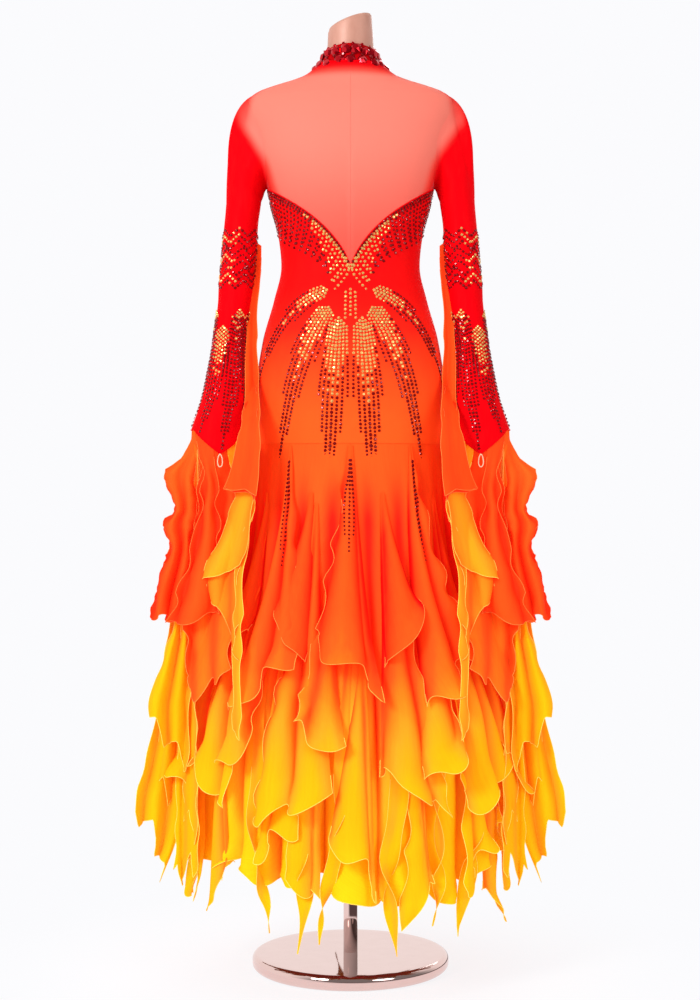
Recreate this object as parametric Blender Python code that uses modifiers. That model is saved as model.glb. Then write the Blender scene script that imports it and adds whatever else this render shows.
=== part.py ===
"""A ballroom dance dress on a limbless dress form, which stands on a pole and a round base.

Metres, +Z up. The dress's back faces -Y, its front +Y, and the pole stands on the Z axis.
Angles round the dress are in degrees from the back (-Y), positive towards +X.
"""

import math
from typing import NamedTuple

import bmesh
import bpy
import numpy as np

# ---------------------------------------------------------------- driving dimensions
BASE_RADIUS = 0.175
BASE_THICKNESS = 0.026
BASE_EDGE = 0.010
POLE_RADIUS = 0.0125
SEAT = 0.0003  # the gap at which pieces of the stand rest on each other

FORM_BOTTOM = 0.860
NECK_TOP_LOW = 1.673  # the slanted neck cap, at its low and high side
NECK_TOP_HIGH = 1.702

EASE = 0.0045  # from the form to the middle of the cloth wall
BODY_CLOTH = 0.0015
SLEEVE_CLOTH = 0.0015
CHIFFON = 0.0010
SEAM = 0.0003  # half of the gap between two pieces at a seam, in height
SEAM_TURN = 0.14  # the same gap round the dress, in degrees

COLLAR_BOTTOM = 1.602
COLLAR_TOP = 1.644
COLLAR_GAP = 0.0003  # from the neck to the collar's plain inside
COLLAR_CLOTH = 0.0015
CRYSTAL_HEIGHT = 0.0038
CRYSTALS_ROUND = 20
CRYSTAL_ROWS = 2

BACK_POINT = 1.232  # lowest point of the sheer back
FRONT_POINT = 1.335  # lowest point of the sheer front
ARMPIT = 1.386
SHOULDER_TIP = 1.552
ARMHOLE_DEPTH = 27.0  # degrees that the armhole reaches round to the back and the front
SKIRT_SEAM = 0.930

HEM = 0.188
HEM_SIDE_RISE = 0.058
HEM_SCALLOP = 0.018
FLUTES = 20
FLUTE_DEPTH = 0.024
FLUTE_GROWTH = 1.3
SKIRT_POWER = 2.15
HANGING_GAP = 0.0014  # from the skirt's crests to the middle of a panel's wall, at its top
LONG_APEX = 0.826  # where the long panels are let into the skirt
TAIL_TOP = 0.600

SLEEVE_PULL = 0.9  # how far the sleeve's cap keeps the shoulder's and the arm's own directions
CUFF_EDGE = 0.955  # the cuff's height at its outer side
CUFF_POINT = 0.043  # how far the point over the hand hangs below it
CUFF_POINT_ANGLE = -90 / 7
LOOP_DROP = 0.022
LOOP_CORD = 0.0012

# columns and rows of the cloth's faces
FORM_COLUMNS = 28
NECKLINE_STEPS = 8
ARMHOLE_STEPS = 7
SHOULDER_STEPS = 4
YOKE_COLUMNS = 5
BODY_ROWS = 9
SLEEVE_CAP_ROWS = 5
COLUMNS_A_FLUTE = 4
SKIRT_ROW_HEIGHTS = (SKIRT_SEAM - SEAM, LONG_APEX, 0.71, TAIL_TOP, 0.46, 0.33)


# ---------------------------------------------------------------- tables of sections
class Section(NamedTuple):
    """A horizontal section of the form: half its width, and how far it reaches back and front."""

    z: float
    side: float
    back: float
    front: float
    power: float


FORM = (
    Section(0.860, 0.1580, 0.118, 0.103, 2.15),
    Section(0.940, 0.1650, 0.127, 0.108, 2.15),
    Section(1.030, 0.1635, 0.130, 0.109, 2.2),
    Section(1.111, 0.1525, 0.119, 0.107, 2.2),
    Section(1.186, 0.1320, 0.093, 0.100, 2.2),
    Section(1.248, 0.1190, 0.077, 0.091, 2.15),
    Section(1.311, 0.1255, 0.088, 0.104, 2.15),
    Section(1.355, 0.1370, 0.097, 0.119, 2.1),
    Section(1.386, 0.1435, 0.102, 0.117, 2.1),
    Section(1.430, 0.1570, 0.104, 0.107, 2.1),
    Section(1.480, 0.1710, 0.101, 0.093, 2.05),
    Section(1.520, 0.1810, 0.092, 0.079, 2.0),
    Section(1.540, 0.1800, 0.083, 0.071, 1.95),
    Section(1.553, 0.1670, 0.075, 0.065, 1.9),
    Section(1.563, 0.1410, 0.069, 0.060, 1.9),
    Section(1.573, 0.1075, 0.063, 0.056, 1.9),
    Section(1.583, 0.0815, 0.058, 0.053, 1.95),
    Section(1.596, 0.0640, 0.053, 0.050, 2.0),
    Section(1.612, 0.0495, 0.047, 0.046, 2.0),
    Section(1.632, 0.0420, 0.043, 0.042, 2.0),
    Section(1.665, 0.0400, 0.042, 0.041, 2.0),
    Section(1.702, 0.0385, 0.041, 0.040, 2.0),
)


class SleeveRing(NamedTuple):
    """A horizontal section of the right sleeve: its centre, and half its width and depth."""

    z: float
    x: float
    y: float
    side: float
    depth: float


SLEEVE = (
    SleeveRing(0.900, 0.2400, -0.047, 0.0580, 0.049),
    SleeveRing(0.960, 0.2315, -0.045, 0.0475, 0.043),
    SleeveRing(1.010, 0.2215, -0.042, 0.0405, 0.038),
    SleeveRing(1.056, 0.2165, -0.038, 0.0360, 0.033),
    SleeveRing(1.111, 0.2125, -0.034, 0.0305, 0.030),
    SleeveRing(1.168, 0.2060, -0.030, 0.0300, 0.031),
    SleeveRing(1.230, 0.2005, -0.025, 0.0305, 0.033),
    SleeveRing(1.268, 0.1975, -0.020, 0.0305, 0.034),
    SleeveRing(1.318, 0.1945, -0.014, 0.0300, 0.035),
    SleeveRing(1.360, 0.1895, -0.010, 0.0310, 0.037),
)


class SkirtRing(NamedTuple):
    """A horizontal section of the underskirt, halfway between crests and hollows."""

    z: float
    side: float
    back: float
    front: float


SKIRT = (
    SkirtRing(0.150, 0.238, 0.240, 0.232),
    SkirtRing(0.250, 0.248, 0.230, 0.222),
    SkirtRing(0.350, 0.253, 0.216, 0.207),
    SkirtRing(0.450, 0.248, 0.198, 0.188),
    SkirtRing(0.560, 0.222, 0.178, 0.167),
    SkirtRing(0.700, 0.187, 0.154, 0.141),
    SkirtRing(0.830, 0.171, 0.137, 0.121),
    SkirtRing(0.930, 0.1692, 0.1302, 0.1118),
)


class Flounce(NamedTuple):
    """A flounce let into the skirt at a crest: its angle, and its hem's height, slant and turn."""

    name: str
    angle: float
    hem: float
    slant: float
    turn: float


SHORT_FLOUNCES = (
    Flounce("flounce_back_1", 0, 0.560, -0.050, -2),
    Flounce("flounce_back_2", 36, 0.525, 0.045, 3),
    Flounce("flounce_side_1", 72, 0.555, -0.030, 2),
    Flounce("flounce_side_2", 108, 0.540, 0.040, -2),
    Flounce("flounce_front_1", 144, 0.570, 0.045, -2),
    Flounce("flounce_front_2", 180, 0.540, -0.045, 2),
    Flounce("flounce_front_3", 216, 0.575, -0.040, 1),
    Flounce("flounce_side_3", 252, 0.545, -0.025, 2),
    Flounce("flounce_side_4", 288, 0.560, -0.030, -2),
    Flounce("flounce_back_3", 324, 0.515, 0.050, 3),
)
LONG_FLOUNCES = (
    Flounce("panel_back_1", 18, 0.350, -0.030, 1),
    Flounce("panel_side_1", 54, 0.335, 0.025, -2),
    Flounce("panel_side_2", 90, 0.345, -0.020, 2),
    Flounce("panel_front_1", 126, 0.330, 0.025, -1),
    Flounce("panel_front_2", 162, 0.350, -0.025, 1),
    Flounce("panel_front_3", 198, 0.335, 0.025, -1),
    Flounce("panel_front_4", 234, 0.345, -0.020, 2),
    Flounce("panel_side_3", 270, 0.335, 0.025, -2),
    Flounce("panel_side_4", 306, 0.345, -0.025, 1),
    Flounce("panel_back_2", 342, 0.335, 0.015, -2),
)


class FlounceCut(NamedTuple):
    """What the flounces of one length share: apex, spread in degrees, waves and how far they stand off."""

    apex: float
    spread: float
    waves: float
    wave_depth: float
    stand_off: float
    columns: int
    rows: int


SHORT_CUT = FlounceCut(SKIRT_SEAM - 0.004, 15.5, 1.0, 0.009, 0.048, 4, 6)
LONG_CUT = FlounceCut(LONG_APEX, 14.0, 1.5, 0.011, 0.018, 4, 8)


class Tail(NamedTuple):
    """A long panel under the flounces that ends in a narrow tail: the crest that it is sewn to, its
    half width, its tip's height and how far round its tip is turned."""

    name: str
    angle: float
    half_width: float
    tip: float
    turn: float


TAILS = (
    Tail("tail_back_1", -36, 0.018, 0.118, 6),
    Tail("tail_back_2", -18, 0.022, 0.088, 1),
    Tail("tail_back_3", 0, 0.018, 0.105, -7),
    Tail("tail_back_4", 18, 0.025, 0.085, -5),
    Tail("tail_back_5", 36, 0.020, 0.128, -9),
    Tail("tail_side", 54, 0.022, 0.105, -12),
    Tail("tail_front", 180, 0.028, 0.095, 5),
)
TAIL_COLUMNS = 2
TAIL_ROWS = 9


class Strip(NamedTuple):
    """A height of a ruffle: where its edges near the skirt and away from it are, and its depth in Y."""

    z: float
    inner: float
    outer: float
    y: float


class Ruffle(NamedTuple):
    """A ruffle of the right sleeve: between which angles it is sewn to the cuff, and in which layer
    from the outside, the hem's heights at its inner and outer edge, waves, and the order in which the
    ruffles hang away from the skirt. A bow over 1 lets the hem fall steeply only near the inner edge."""

    name: str
    sewn_from: float
    sewn_to: float
    sewn_layer: int
    hem_inner: float
    hem_outer: float
    bow: float
    waves: float
    wave_depth: float
    order: int
    strips: tuple


RUFFLES = (
    Ruffle("ruffle_inner", -77.1, -25.7, 0, 0.430, 0.700, 2.5, 1.2, 0.006, 5, (
        Strip(0.430, 0.181, 0.250, -0.118),
        Strip(0.600, 0.182, 0.256, -0.117),
        Strip(0.690, 0.181, 0.258, -0.117),
        Strip(0.718, 0.180, 0.247, -0.114),
        Strip(0.770, 0.172, 0.225, -0.102),
        Strip(0.835, 0.162, 0.199, -0.079),
    )),
    Ruffle("ruffle_centre", 0, 50, 0, 0.640, 0.612, 1.0, 1.0, 0.007, 4, (
        Strip(0.612, 0.214, 0.324, -0.106),
        Strip(0.691, 0.219, 0.298, -0.102),
        Strip(0.744, 0.223, 0.279, -0.099),
        Strip(0.798, 0.227, 0.266, -0.096),
        Strip(0.865, 0.230, 0.257, -0.093),
    )),
    Ruffle("ruffle_outer", 53, 102.9, 0, 0.650, 0.628, 1.0, 1.2, 0.007, 3, (
        Strip(0.628, 0.304, 0.350, -0.087),
        Strip(0.674, 0.296, 0.342, -0.084),
        Strip(0.750, 0.286, 0.319, -0.078),
        Strip(0.790, 0.284, 0.327, -0.075),
        Strip(0.817, 0.282, 0.312, -0.073),
        Strip(0.873, 0.281, 0.327, -0.068),
        Strip(0.903, 0.277, 0.314, -0.063),
        Strip(0.940, 0.270, 0.296, -0.056),
    )),
    Ruffle("ruffle_under", -51.4, 19.3, 1, 0.543, 0.487, 1.0, 1.0, 0.007, 3, (
        Strip(0.487, 0.208, 0.278, -0.090),
        Strip(0.552, 0.2075, 0.287, -0.088),
        Strip(0.620, 0.206, 0.292, -0.086),
        Strip(0.800, 0.200, 0.270, -0.075),
    )),
    Ruffle("ruffle_front", 250, 110, 0, 0.600, 0.660, 1.0, 1.5, 0.007, 0, (
        Strip(0.600, 0.262, 0.345, 0.012),
        Strip(0.700, 0.242, 0.330, 0.010),
        Strip(0.850, 0.216, 0.294, 0.006),
    )),
    Ruffle("ruffle_lower_1", 47, 100, 1, 0.365, 0.450, 1.0, 1.2, 0.006, 2, (
        Strip(0.365, 0.276, 0.344, -0.095),
        Strip(0.467, 0.276, 0.349, -0.089),
        Strip(0.517, 0.275, 0.337, -0.085),
        Strip(0.620, 0.276, 0.308, -0.073),
        Strip(0.750, 0.275, 0.293, -0.066),
        Strip(0.880, 0.266, 0.286, -0.060),
    )),
    Ruffle("ruffle_lower_2", 47, 100, 2, 0.215, 0.176, 1.0, 1.0, 0.005, 1, (
        Strip(0.176, 0.270, 0.304, -0.084),
        Strip(0.245, 0.260, 0.302, -0.082),
        Strip(0.320, 0.261, 0.301, -0.080),
        Strip(0.500, 0.268, 0.300, -0.073),
        Strip(0.620, 0.270, 0.294, -0.063),
        Strip(0.750, 0.268, 0.287, -0.056),
        Strip(0.880, 0.262, 0.280, -0.052),
    )),
    Ruffle("ruffle_lower_3", 47, 100, 3, 0.165, 0.288, 1.4, 1.2, 0.006, 0, (
        Strip(0.165, 0.334, 0.382, -0.066),
        Strip(0.230, 0.308, 0.382, -0.065),
        Strip(0.288, 0.296, 0.380, -0.064),
        Strip(0.400, 0.290, 0.354, -0.060),
        Strip(0.500, 0.284, 0.334, -0.056),
        Strip(0.620, 0.280, 0.318, -0.051),
        Strip(0.750, 0.266, 0.288, -0.044),
        Strip(0.880, 0.256, 0.270, -0.040),
    )),
)

ELBOW_TOP = 1.288
ELBOW_HEM_INNER = 0.839
ELBOW_HEM_OUTER = 0.856
ELBOW_STRIPS = (
    Strip(0.838, 0.156, 0.2210, -0.092),
    Strip(0.886, 0.151, 0.2030, -0.088),
    Strip(0.928, 0.152, 0.1880, -0.079),
    Strip(0.970, 0.154, 0.1800, -0.069),
    Strip(1.012, 0.157, 0.1780, -0.060),
    Strip(1.068, 0.162, 0.1770, -0.051),
    Strip(1.137, 0.164, 0.1760, -0.043),
    Strip(1.220, 0.162, 0.1665, -0.031),
    Strip(1.288, 0.158, 0.1653, -0.020),
)
RUFFLE_COLUMNS = 4
RUFFLE_ROWS = 8
SEWN_SHARE = 0.25  # of a ruffle's fall, in which it leaves the cuff's shape
RIM_GAP = 0.0010
RIM_INSIDE = 0.0015
ELBOW_WAVE = 0.004
SKIRT_MARGIN = 0.005
LAYER_GAP = 0.007
LAYERS_TOP = 1.06  # above this the ruffles' layers lie together
SIDE_ZONE = 0.020  # a ruffle this near to the side, or nearer the front, is moved sideways


# ---------------------------------------------------------------- curves and surfaces
def curve_through(heights, values):
    """A smooth curve through the points, which never overshoots them."""
    heights, values = np.array(heights, float), np.array(values, float)
    step = np.diff(values) / np.diff(heights)
    product = step[:-1] * step[1:]
    total = np.where(product > 0, step[:-1] + step[1:], 1.0)
    inner = np.where(product > 0, 2 * product / total, 0.0)
    slope = np.concatenate([step[:1], inner, step[-1:]])

    def at(height):
        height = min(max(height, heights[0]), heights[-1])
        i = min(max(int(np.searchsorted(heights, height)) - 1, 0), len(step) - 1)
        span = heights[i + 1] - heights[i]
        t = (height - heights[i]) / span
        start = values[i] * (1 + 2 * t) + span * slope[i] * t
        end = values[i + 1] * (3 - 2 * t) - span * slope[i + 1] * (1 - t)
        return start * (1 - t) ** 2 + end * t * t

    return at


def curves_of(table):
    """A curve for each named column of a table of sections, by height."""
    heights = [row.z for row in table]
    names = [name for name in table[0]._fields if name != "z"]
    return {name: curve_through(heights, [getattr(row, name) for row in table]) for name in names}


FORM_AT = curves_of(FORM)
SLEEVE_AT = curves_of(SLEEVE)
SKIRT_AT = curves_of(SKIRT)


def signed_power(value, power):
    return math.copysign(abs(value) ** power, value)


def section_point(angle, z, side, back, front, power=2.0):
    """A point of a section with unlike depths at its back and front."""
    turn = math.radians(angle)
    x = side * signed_power(math.sin(turn), 2 / power)
    depth = back if math.cos(turn) > 0 else front
    y = -depth * signed_power(math.cos(turn), 2 / power)
    return np.array([x, y, z])


def form_point(angle, z):
    return section_point(angle, z, *(FORM_AT[name](z) for name in ("side", "back", "front", "power")))


def unit(vector):
    return vector / np.linalg.norm(vector)


def form_normal(angle, z):
    """The form's outward normal."""
    around = form_point(angle + 0.5, z) - form_point(angle - 0.5, z)
    up = form_point(angle, z + 0.001) - form_point(angle, z - 0.001)
    return unit(np.cross(around, up))


def dress_point(angle, z, out=0.0):
    """A point of the fitted part of the dress, halfway through its wall and moved out."""
    return form_point(angle, z) + form_normal(angle, z) * (EASE + out)


def lerp(a, b, t):
    return a + (b - a) * t


def ease_in_out(t):
    t = min(max(t, 0.0), 1.0)
    return t * t * (3 - 2 * t)


# ---------------------------------------------------------------- scene and meshes
def clear_scene():
    for obj in list(bpy.data.objects):
        bpy.data.objects.remove(obj, do_unlink=True)
    for collection in list(bpy.data.collections):
        bpy.data.collections.remove(collection)


def material(name, colour, roughness, metallic=0.0, alpha=1.0):
    made = bpy.data.materials.new(name)
    made.use_nodes = True
    shader = made.node_tree.nodes["Principled BSDF"]
    shader.inputs["Base Color"].default_value = (*colour, 1.0)
    shader.inputs["Roughness"].default_value = roughness
    shader.inputs["Metallic"].default_value = metallic
    shader.inputs["Alpha"].default_value = alpha
    made.diffuse_color = (*colour, alpha)
    return made


def finish_object(obj, surface):
    """Puts the object in the part's collection with its material and smooth shading."""
    for collection in list(obj.users_collection):
        collection.objects.unlink(obj)
    PART.objects.link(obj)
    obj.data.materials.append(surface)
    if obj.type == "MESH":
        obj.data.shade_smooth()
    return obj


def loft_mesh(name, rows, closed=False, capped=False, ring_of_rings=False):
    """Faces between one row of points and the next. closed joins each row's ends, capped fills the
    first and last row, and ring_of_rings joins the last row to the first."""
    mesh = bmesh.new()
    verts = [[mesh.verts.new(point) for point in row] for row in rows]
    columns = len(rows[0])
    following = list(range(1, columns)) + ([0] if closed else [])
    pairs = list(zip(verts, verts[1:]))
    if ring_of_rings:
        pairs.append((verts[-1], verts[0]))
    for upper, lower in pairs:
        for i, j in enumerate(following):
            mesh.faces.new((upper[i], lower[i], lower[j], upper[j]))
    if capped:
        mesh.faces.new(verts[0])
        mesh.faces.new(list(reversed(verts[-1])))
    if capped or ring_of_rings:
        bmesh.ops.recalc_face_normals(mesh, faces=mesh.faces)
    data = bpy.data.meshes.new(name)
    mesh.to_mesh(data)
    mesh.free()
    return data


def cloth(name, rows, thickness, surface, closed=False):
    """A piece of cloth: an open surface through rows that run down, with its wall made by Solidify."""
    obj = bpy.data.objects.new(name, loft_mesh(name, rows, closed))
    wall = obj.modifiers.new("wall", "SOLIDIFY")
    wall.thickness = thickness
    wall.offset = 0.0
    return finish_object(obj, surface)


def mirrored(rows):
    """The same rows on the other side of the dress, still running the same way round."""
    flip = np.array([-1.0, 1.0, 1.0])
    return [[point * flip for point in reversed(row)] for row in rows]


def both_sides(name, rows, thickness, surface, closed=False):
    cloth(name + "_right", rows, thickness, surface, closed)
    cloth(name + "_left", mirrored(rows), thickness, surface, closed)


# ---------------------------------------------------------------- the stand and the form
def make_base():
    bpy.ops.mesh.primitive_cylinder_add(
        vertices=40, radius=BASE_RADIUS, depth=BASE_THICKNESS, location=(0, 0, BASE_THICKNESS / 2)
    )
    base = bpy.context.object
    base.name = "stand_base"
    edge = base.modifiers.new("rounded edge", "BEVEL")
    edge.width = BASE_EDGE
    edge.segments = 2
    edge.limit_method = "ANGLE"
    finish_object(base, ROSE_GOLD)


def make_pole():
    """The pole, standing on the base and reaching up to the form."""
    foot = BASE_THICKNESS + SEAT
    length = FORM_BOTTOM - SEAT - foot
    bpy.ops.mesh.primitive_cylinder_add(
        vertices=24, radius=POLE_RADIUS, depth=length, location=(0, 0, foot + length / 2)
    )
    pole = bpy.context.object
    pole.name = "stand_pole"
    finish_object(pole, ROSE_GOLD)


def make_form():
    """The torso: one closed solid from its flat foot to the slanted neck cap."""
    angles = [360 * i / FORM_COLUMNS for i in range(FORM_COLUMNS)]
    heights = [row.z for row in FORM[:-1]]
    between = [(a + b) / 2 for a, b in zip(heights[:7], heights[1:8])]
    seats = [COLLAR_BOTTOM, COLLAR_TOP]
    rows = [[form_point(a, z) for a in angles] for z in sorted(heights + between + seats)]
    neck = FORM[-1]
    for rise, reach in ((0.40, 1.0), (0.86, 0.95), (1.0, 0.66)):
        row = []
        for a in angles:
            point = form_point(a, neck.z) * np.array([reach, reach, 1.0])
            cap = lerp(NECK_TOP_LOW, NECK_TOP_HIGH, 0.5 + 0.5 * point[0] / neck.side)
            point[2] = lerp(heights[-1], cap, rise)
            row.append(point)
        rows.append(row)
    mesh = loft_mesh("form_torso", rows[::-1], closed=True, capped=True)
    finish_object(bpy.data.objects.new("form_torso", mesh), FORM_SKIN)


# ---------------------------------------------------------------- collar, yoke and body
def collar_point(angle, z, out):
    """A point of the collar, by how far it is out from the collar's inside."""
    return form_point(angle, z) + form_normal(angle, z) * (COLLAR_GAP + out)


def make_collar():
    """The stand-up collar: a plain band inside, and two rows of large crystals raised outside."""
    columns = CRYSTALS_ROUND * 3
    steps = CRYSTAL_ROWS * 3
    rows = []
    for i in range(steps + 1):
        z = lerp(COLLAR_TOP, COLLAR_BOTTOM, i / steps)
        row = []
        for j in range(columns):
            on_crystal = i % 3 != 0 and j % 3 != 0
            out = COLLAR_CLOTH + (CRYSTAL_HEIGHT if on_crystal else 0.0)
            row.append(collar_point(360 * j / columns, z, out))
        rows.append(row)
    for z in (COLLAR_BOTTOM, COLLAR_TOP):
        rows.append([collar_point(360 * j / columns, z, 0.0) for j in range(columns)])
    mesh = loft_mesh("collar", rows, closed=True, ring_of_rings=True)
    collar = finish_object(bpy.data.objects.new("collar", mesh), CRYSTAL_RED)
    collar.data.shade_flat()


def neckline_angles():
    """Angles from the neckline's lowest point to the armpit, closer together at the point."""
    return [90 * (i / NECKLINE_STEPS) ** 1.5 for i in range(NECKLINE_STEPS + 1)]


def neckline_height(from_centre, low):
    """The height of the opaque body's top edge, at this angle from the centre back or front."""
    reach = 1 - min(from_centre / 90, 1.0)
    rise = (1 - reach**1.43) ** 0.625
    return lerp(low, ARMPIT, rise)


def armhole_angle(z):
    """How far from the centre back or front the armhole's edge is at this height."""
    share = (z - ARMPIT) / (SHOULDER_TIP - ARMPIT)
    return 90 - ARMHOLE_DEPTH * math.sin(math.pi * min(max(share, 0.0), 1.0)) ** 0.8


def armhole_heights():
    """Heights up the armhole's edge, closer together at the armpit and the shoulder."""
    shares = [0.5 - 0.5 * math.cos(math.pi * i / ARMHOLE_STEPS) for i in range(ARMHOLE_STEPS + 1)]
    return [lerp(ARMPIT, SHOULDER_TIP, share) for share in shares]


def yoke_edges(low):
    """Rows of the sheer yoke from the neck down to the neckline's point: height and reach."""
    first = COLLAR_BOTTOM - 2 * SEAM
    shoulder = [lerp(first, SHOULDER_TIP, i / SHOULDER_STEPS) for i in range(SHOULDER_STEPS)]
    edges = [(z, 90 - 3 * SEAM_TURN) for z in shoulder]
    edges += [(z, armhole_angle(z) - SEAM_TURN) for z in reversed(armhole_heights()[1:])]
    angles = neckline_angles()
    edges += [(neckline_height(a, low) + SEAM, a - SEAM_TURN) for a in reversed(angles[1:])]
    last = 0.35
    tip = lerp(neckline_height(0, low), neckline_height(angles[1], low), last) + SEAM
    edges.append((tip, angles[1] * last - SEAM_TURN))
    return edges


def yoke_shares():
    """Columns of the yoke from its centre to its edge, closer together at the rounder side."""
    return [1 - (1 - i / YOKE_COLUMNS) ** 1.35 for i in range(YOKE_COLUMNS + 1)]


def make_yokes():
    """The sheer yoke: two back halves that meet at the centre opening, and one front."""
    rows = []
    for z, reach in yoke_edges(BACK_POINT):
        rows.append([dress_point(lerp(SEAM_TURN, reach, share), z) for share in yoke_shares()])
    both_sides("yoke_back", rows, BODY_CLOTH, SHEER_RED)

    rows = []
    both_ways = [-share for share in reversed(yoke_shares()[1:])] + yoke_shares()
    for z, reach in yoke_edges(FRONT_POINT):
        rows.append([dress_point(180 + reach * share, z) for share in both_ways])
    cloth("yoke_front", rows, BODY_CLOTH, SHEER_RED)


def make_body():
    """The opaque fitted body from the neckline down to the skirt: one back and one front."""
    half = neckline_angles()
    half[-1] -= 0.15
    around = [-a for a in reversed(half[1:])] + half
    for name, centre, low in (("body_back", 0, BACK_POINT), ("body_front", 180, FRONT_POINT)):
        rows = []
        for i in range(BODY_ROWS + 1):
            row = []
            for a in around:
                top = neckline_height(abs(a), low) - SEAM
                fall = (i / BODY_ROWS) ** 1.15
                row.append(dress_point(centre + a, lerp(top, SKIRT_SEAM + SEAM, fall)))
            rows.append(row)
        cloth(name, rows, BODY_CLOTH, CREPE_RED)


# ---------------------------------------------------------------- sleeves
def armhole_loop():
    """The right armhole's edge from the shoulder tip down the back, and up the front again."""
    heights = armhole_heights()
    back = [(armhole_angle(z), z) for z in reversed(heights)]
    front = [(180 - armhole_angle(z), z) for z in heights[1:-1]]
    return back + front


def sleeve_point(angle, z):
    """A point of the right sleeve below the armpit. 0 is its back, and 90 its outer side."""
    x, y, side, depth = (SLEEVE_AT[name](z) for name in ("x", "y", "side", "depth"))
    turn = math.radians(angle)
    return np.array([x + side * math.sin(turn), y - depth * math.cos(turn), z])


def cuff_height(angle):
    """The cuff's edge, which falls to a point over the back of the hand."""
    near = math.cos(math.radians(angle - CUFF_POINT_ANGLE))
    return CUFF_EDGE - CUFF_POINT * max(near, 0.0) ** 2.5


def sleeve_rows():
    """The sleeve's cap curves from the armhole into the arm, and rings follow it to the cuff."""
    loop = armhole_loop()
    count = len(loop)
    arm_top = SLEEVE[-1].z
    rows = [[] for _ in range(SLEEVE_CAP_ROWS + 1)]
    angles = [90 - 360 * i / count for i in range(count)]
    hole_centre = dress_point(90, lerp(ARMPIT, SHOULDER_TIP, 0.5))
    for i, (angle, z) in enumerate(loop):
        start = dress_point(angle, z)
        height = (z - ARMPIT) / (SHOULDER_TIP - ARMPIT)
        before, after = (dress_point(*loop[(i + k) % count]) for k in (-1, 1))
        inward = np.cross(form_normal(angle, z), unit(after - before))
        inward *= math.copysign(1.0, float(np.dot(inward, hole_centre - start)))
        over = start - dress_point(lerp(90, angle, 1.12), z + 0.012 * (2 * height - 1))
        inward = unit(lerp(inward, unit(over), ease_in_out(2 * height - 1)))
        end = sleeve_point(angles[i], arm_top)
        pull = SLEEVE_PULL * np.linalg.norm(end - start)
        leave, arrive = unit(inward) * pull, np.array([0.03, 0.0, -1.0]) * pull
        for k, row in enumerate(rows):
            t = k / SLEEVE_CAP_ROWS
            point = start * (1 + 2 * t) * (1 - t) ** 2 + end * (3 - 2 * t) * t * t
            point = point + leave * t * (1 - t) ** 2 - arrive * t * t * (1 - t)
            row.append(point + unit(inward) * 2 * SEAM * (1 - t))
    heights = [row.z for row in reversed(SLEEVE[1:-1])]
    for z in heights:
        rows.append([sleeve_point(a, z) for a in angles])
    for share in (0.5, 1.0):
        rows.append([sleeve_point(a, lerp(heights[-1], cuff_height(a), share)) for a in angles])
    return rows


def make_sleeves():
    """Both sleeves, and the elastic finger loop at each cuff's point."""
    rows = [row[::-1] for row in sleeve_rows()]
    both_sides("sleeve", rows, SLEEVE_CLOTH, CREPE_RED, closed=True)
    for name, side in (("finger_loop_right", 1), ("finger_loop_left", -1)):
        make_finger_loop(name, side)


def make_finger_loop(name, side):
    """A teardrop of thin elastic that hangs from the cuff's point."""
    top = sleeve_point(CUFF_POINT_ANGLE, cuff_height(CUFF_POINT_ANGLE))
    top[2] -= LOOP_CORD / 2 + 2 * SEAM
    line = bpy.data.curves.new(name, "CURVE")
    line.dimensions = "3D"
    line.bevel_depth = LOOP_CORD / 2
    line.bevel_resolution = 0
    count = 12
    spline = line.splines.new("POLY")
    spline.points.add(count - 1)
    spline.use_cyclic_u = True
    for i, point in enumerate(spline.points):
        turn = 2 * math.pi * i / count
        drop = LOOP_DROP * 0.5 * (1 - math.cos(turn))
        swell = LOOP_DROP * 0.22 * math.sin(turn) * (0.5 + 0.5 * math.sin(turn / 2))
        point.co = (side * (top[0] + swell), top[1], top[2] - drop, 1.0)
    loop = bpy.data.objects.new(name, line)
    PART.objects.link(loop)
    line.materials.append(ELASTIC)


# ---------------------------------------------------------------- skirt
def flute_depth(z):
    fallen = (SKIRT_SEAM - z) / (SKIRT_SEAM - HEM)
    return FLUTE_DEPTH * max(fallen, 0.0) ** FLUTE_GROWTH


def skirt_reach(angle, z, out):
    """A point of the skirt's even section, moved out from the pole's axis."""
    side, back, front = (SKIRT_AT[name](z) for name in ("side", "back", "front"))
    return section_point(angle, z, side + out, back + out, front + out, SKIRT_POWER)


def skirt_point(angle, z):
    """A point of the underskirt, with its flutes."""
    wave = math.cos(math.radians(FLUTES * angle))
    return skirt_reach(angle, z, flute_depth(z) * wave)


def over_skirt(angle, z, out):
    """A point outside the flutes' crests."""
    return skirt_reach(angle, z, flute_depth(z) + out)


def skirt_hem(angle):
    """The hem's height, which rises at both sides and is scalloped between."""
    rise = HEM_SIDE_RISE * math.sin(math.radians(angle)) ** 4
    return HEM + rise - HEM_SCALLOP * math.cos(math.radians(3 * (angle - 30)))


def make_skirt():
    """The underskirt in two halves, whose seams lie in hollows between two flutes."""
    columns = FLUTES * COLUMNS_A_FLUTE // 2
    for name, side in (("skirt_right", 0), ("skirt_left", 1)):
        start = 180 * side - 180 / FLUTES
        angles = [start + 180 * i / columns for i in range(columns + 1)]
        angles[0] += SEAM_TURN
        angles[-1] -= SEAM_TURN
        rows = [[skirt_point(a, z) for a in angles] for z in SKIRT_ROW_HEIGHTS]
        rows.append([skirt_point(a, skirt_hem(a)) for a in angles])
        cloth(name, rows, CHIFFON, CHIFFON_ORANGE)


def stand_off(top, z, slope):
    """How far a hanging panel is from the crests: against the skirt at its top, and free below."""
    return HANGING_GAP + slope * (top - z)


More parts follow.
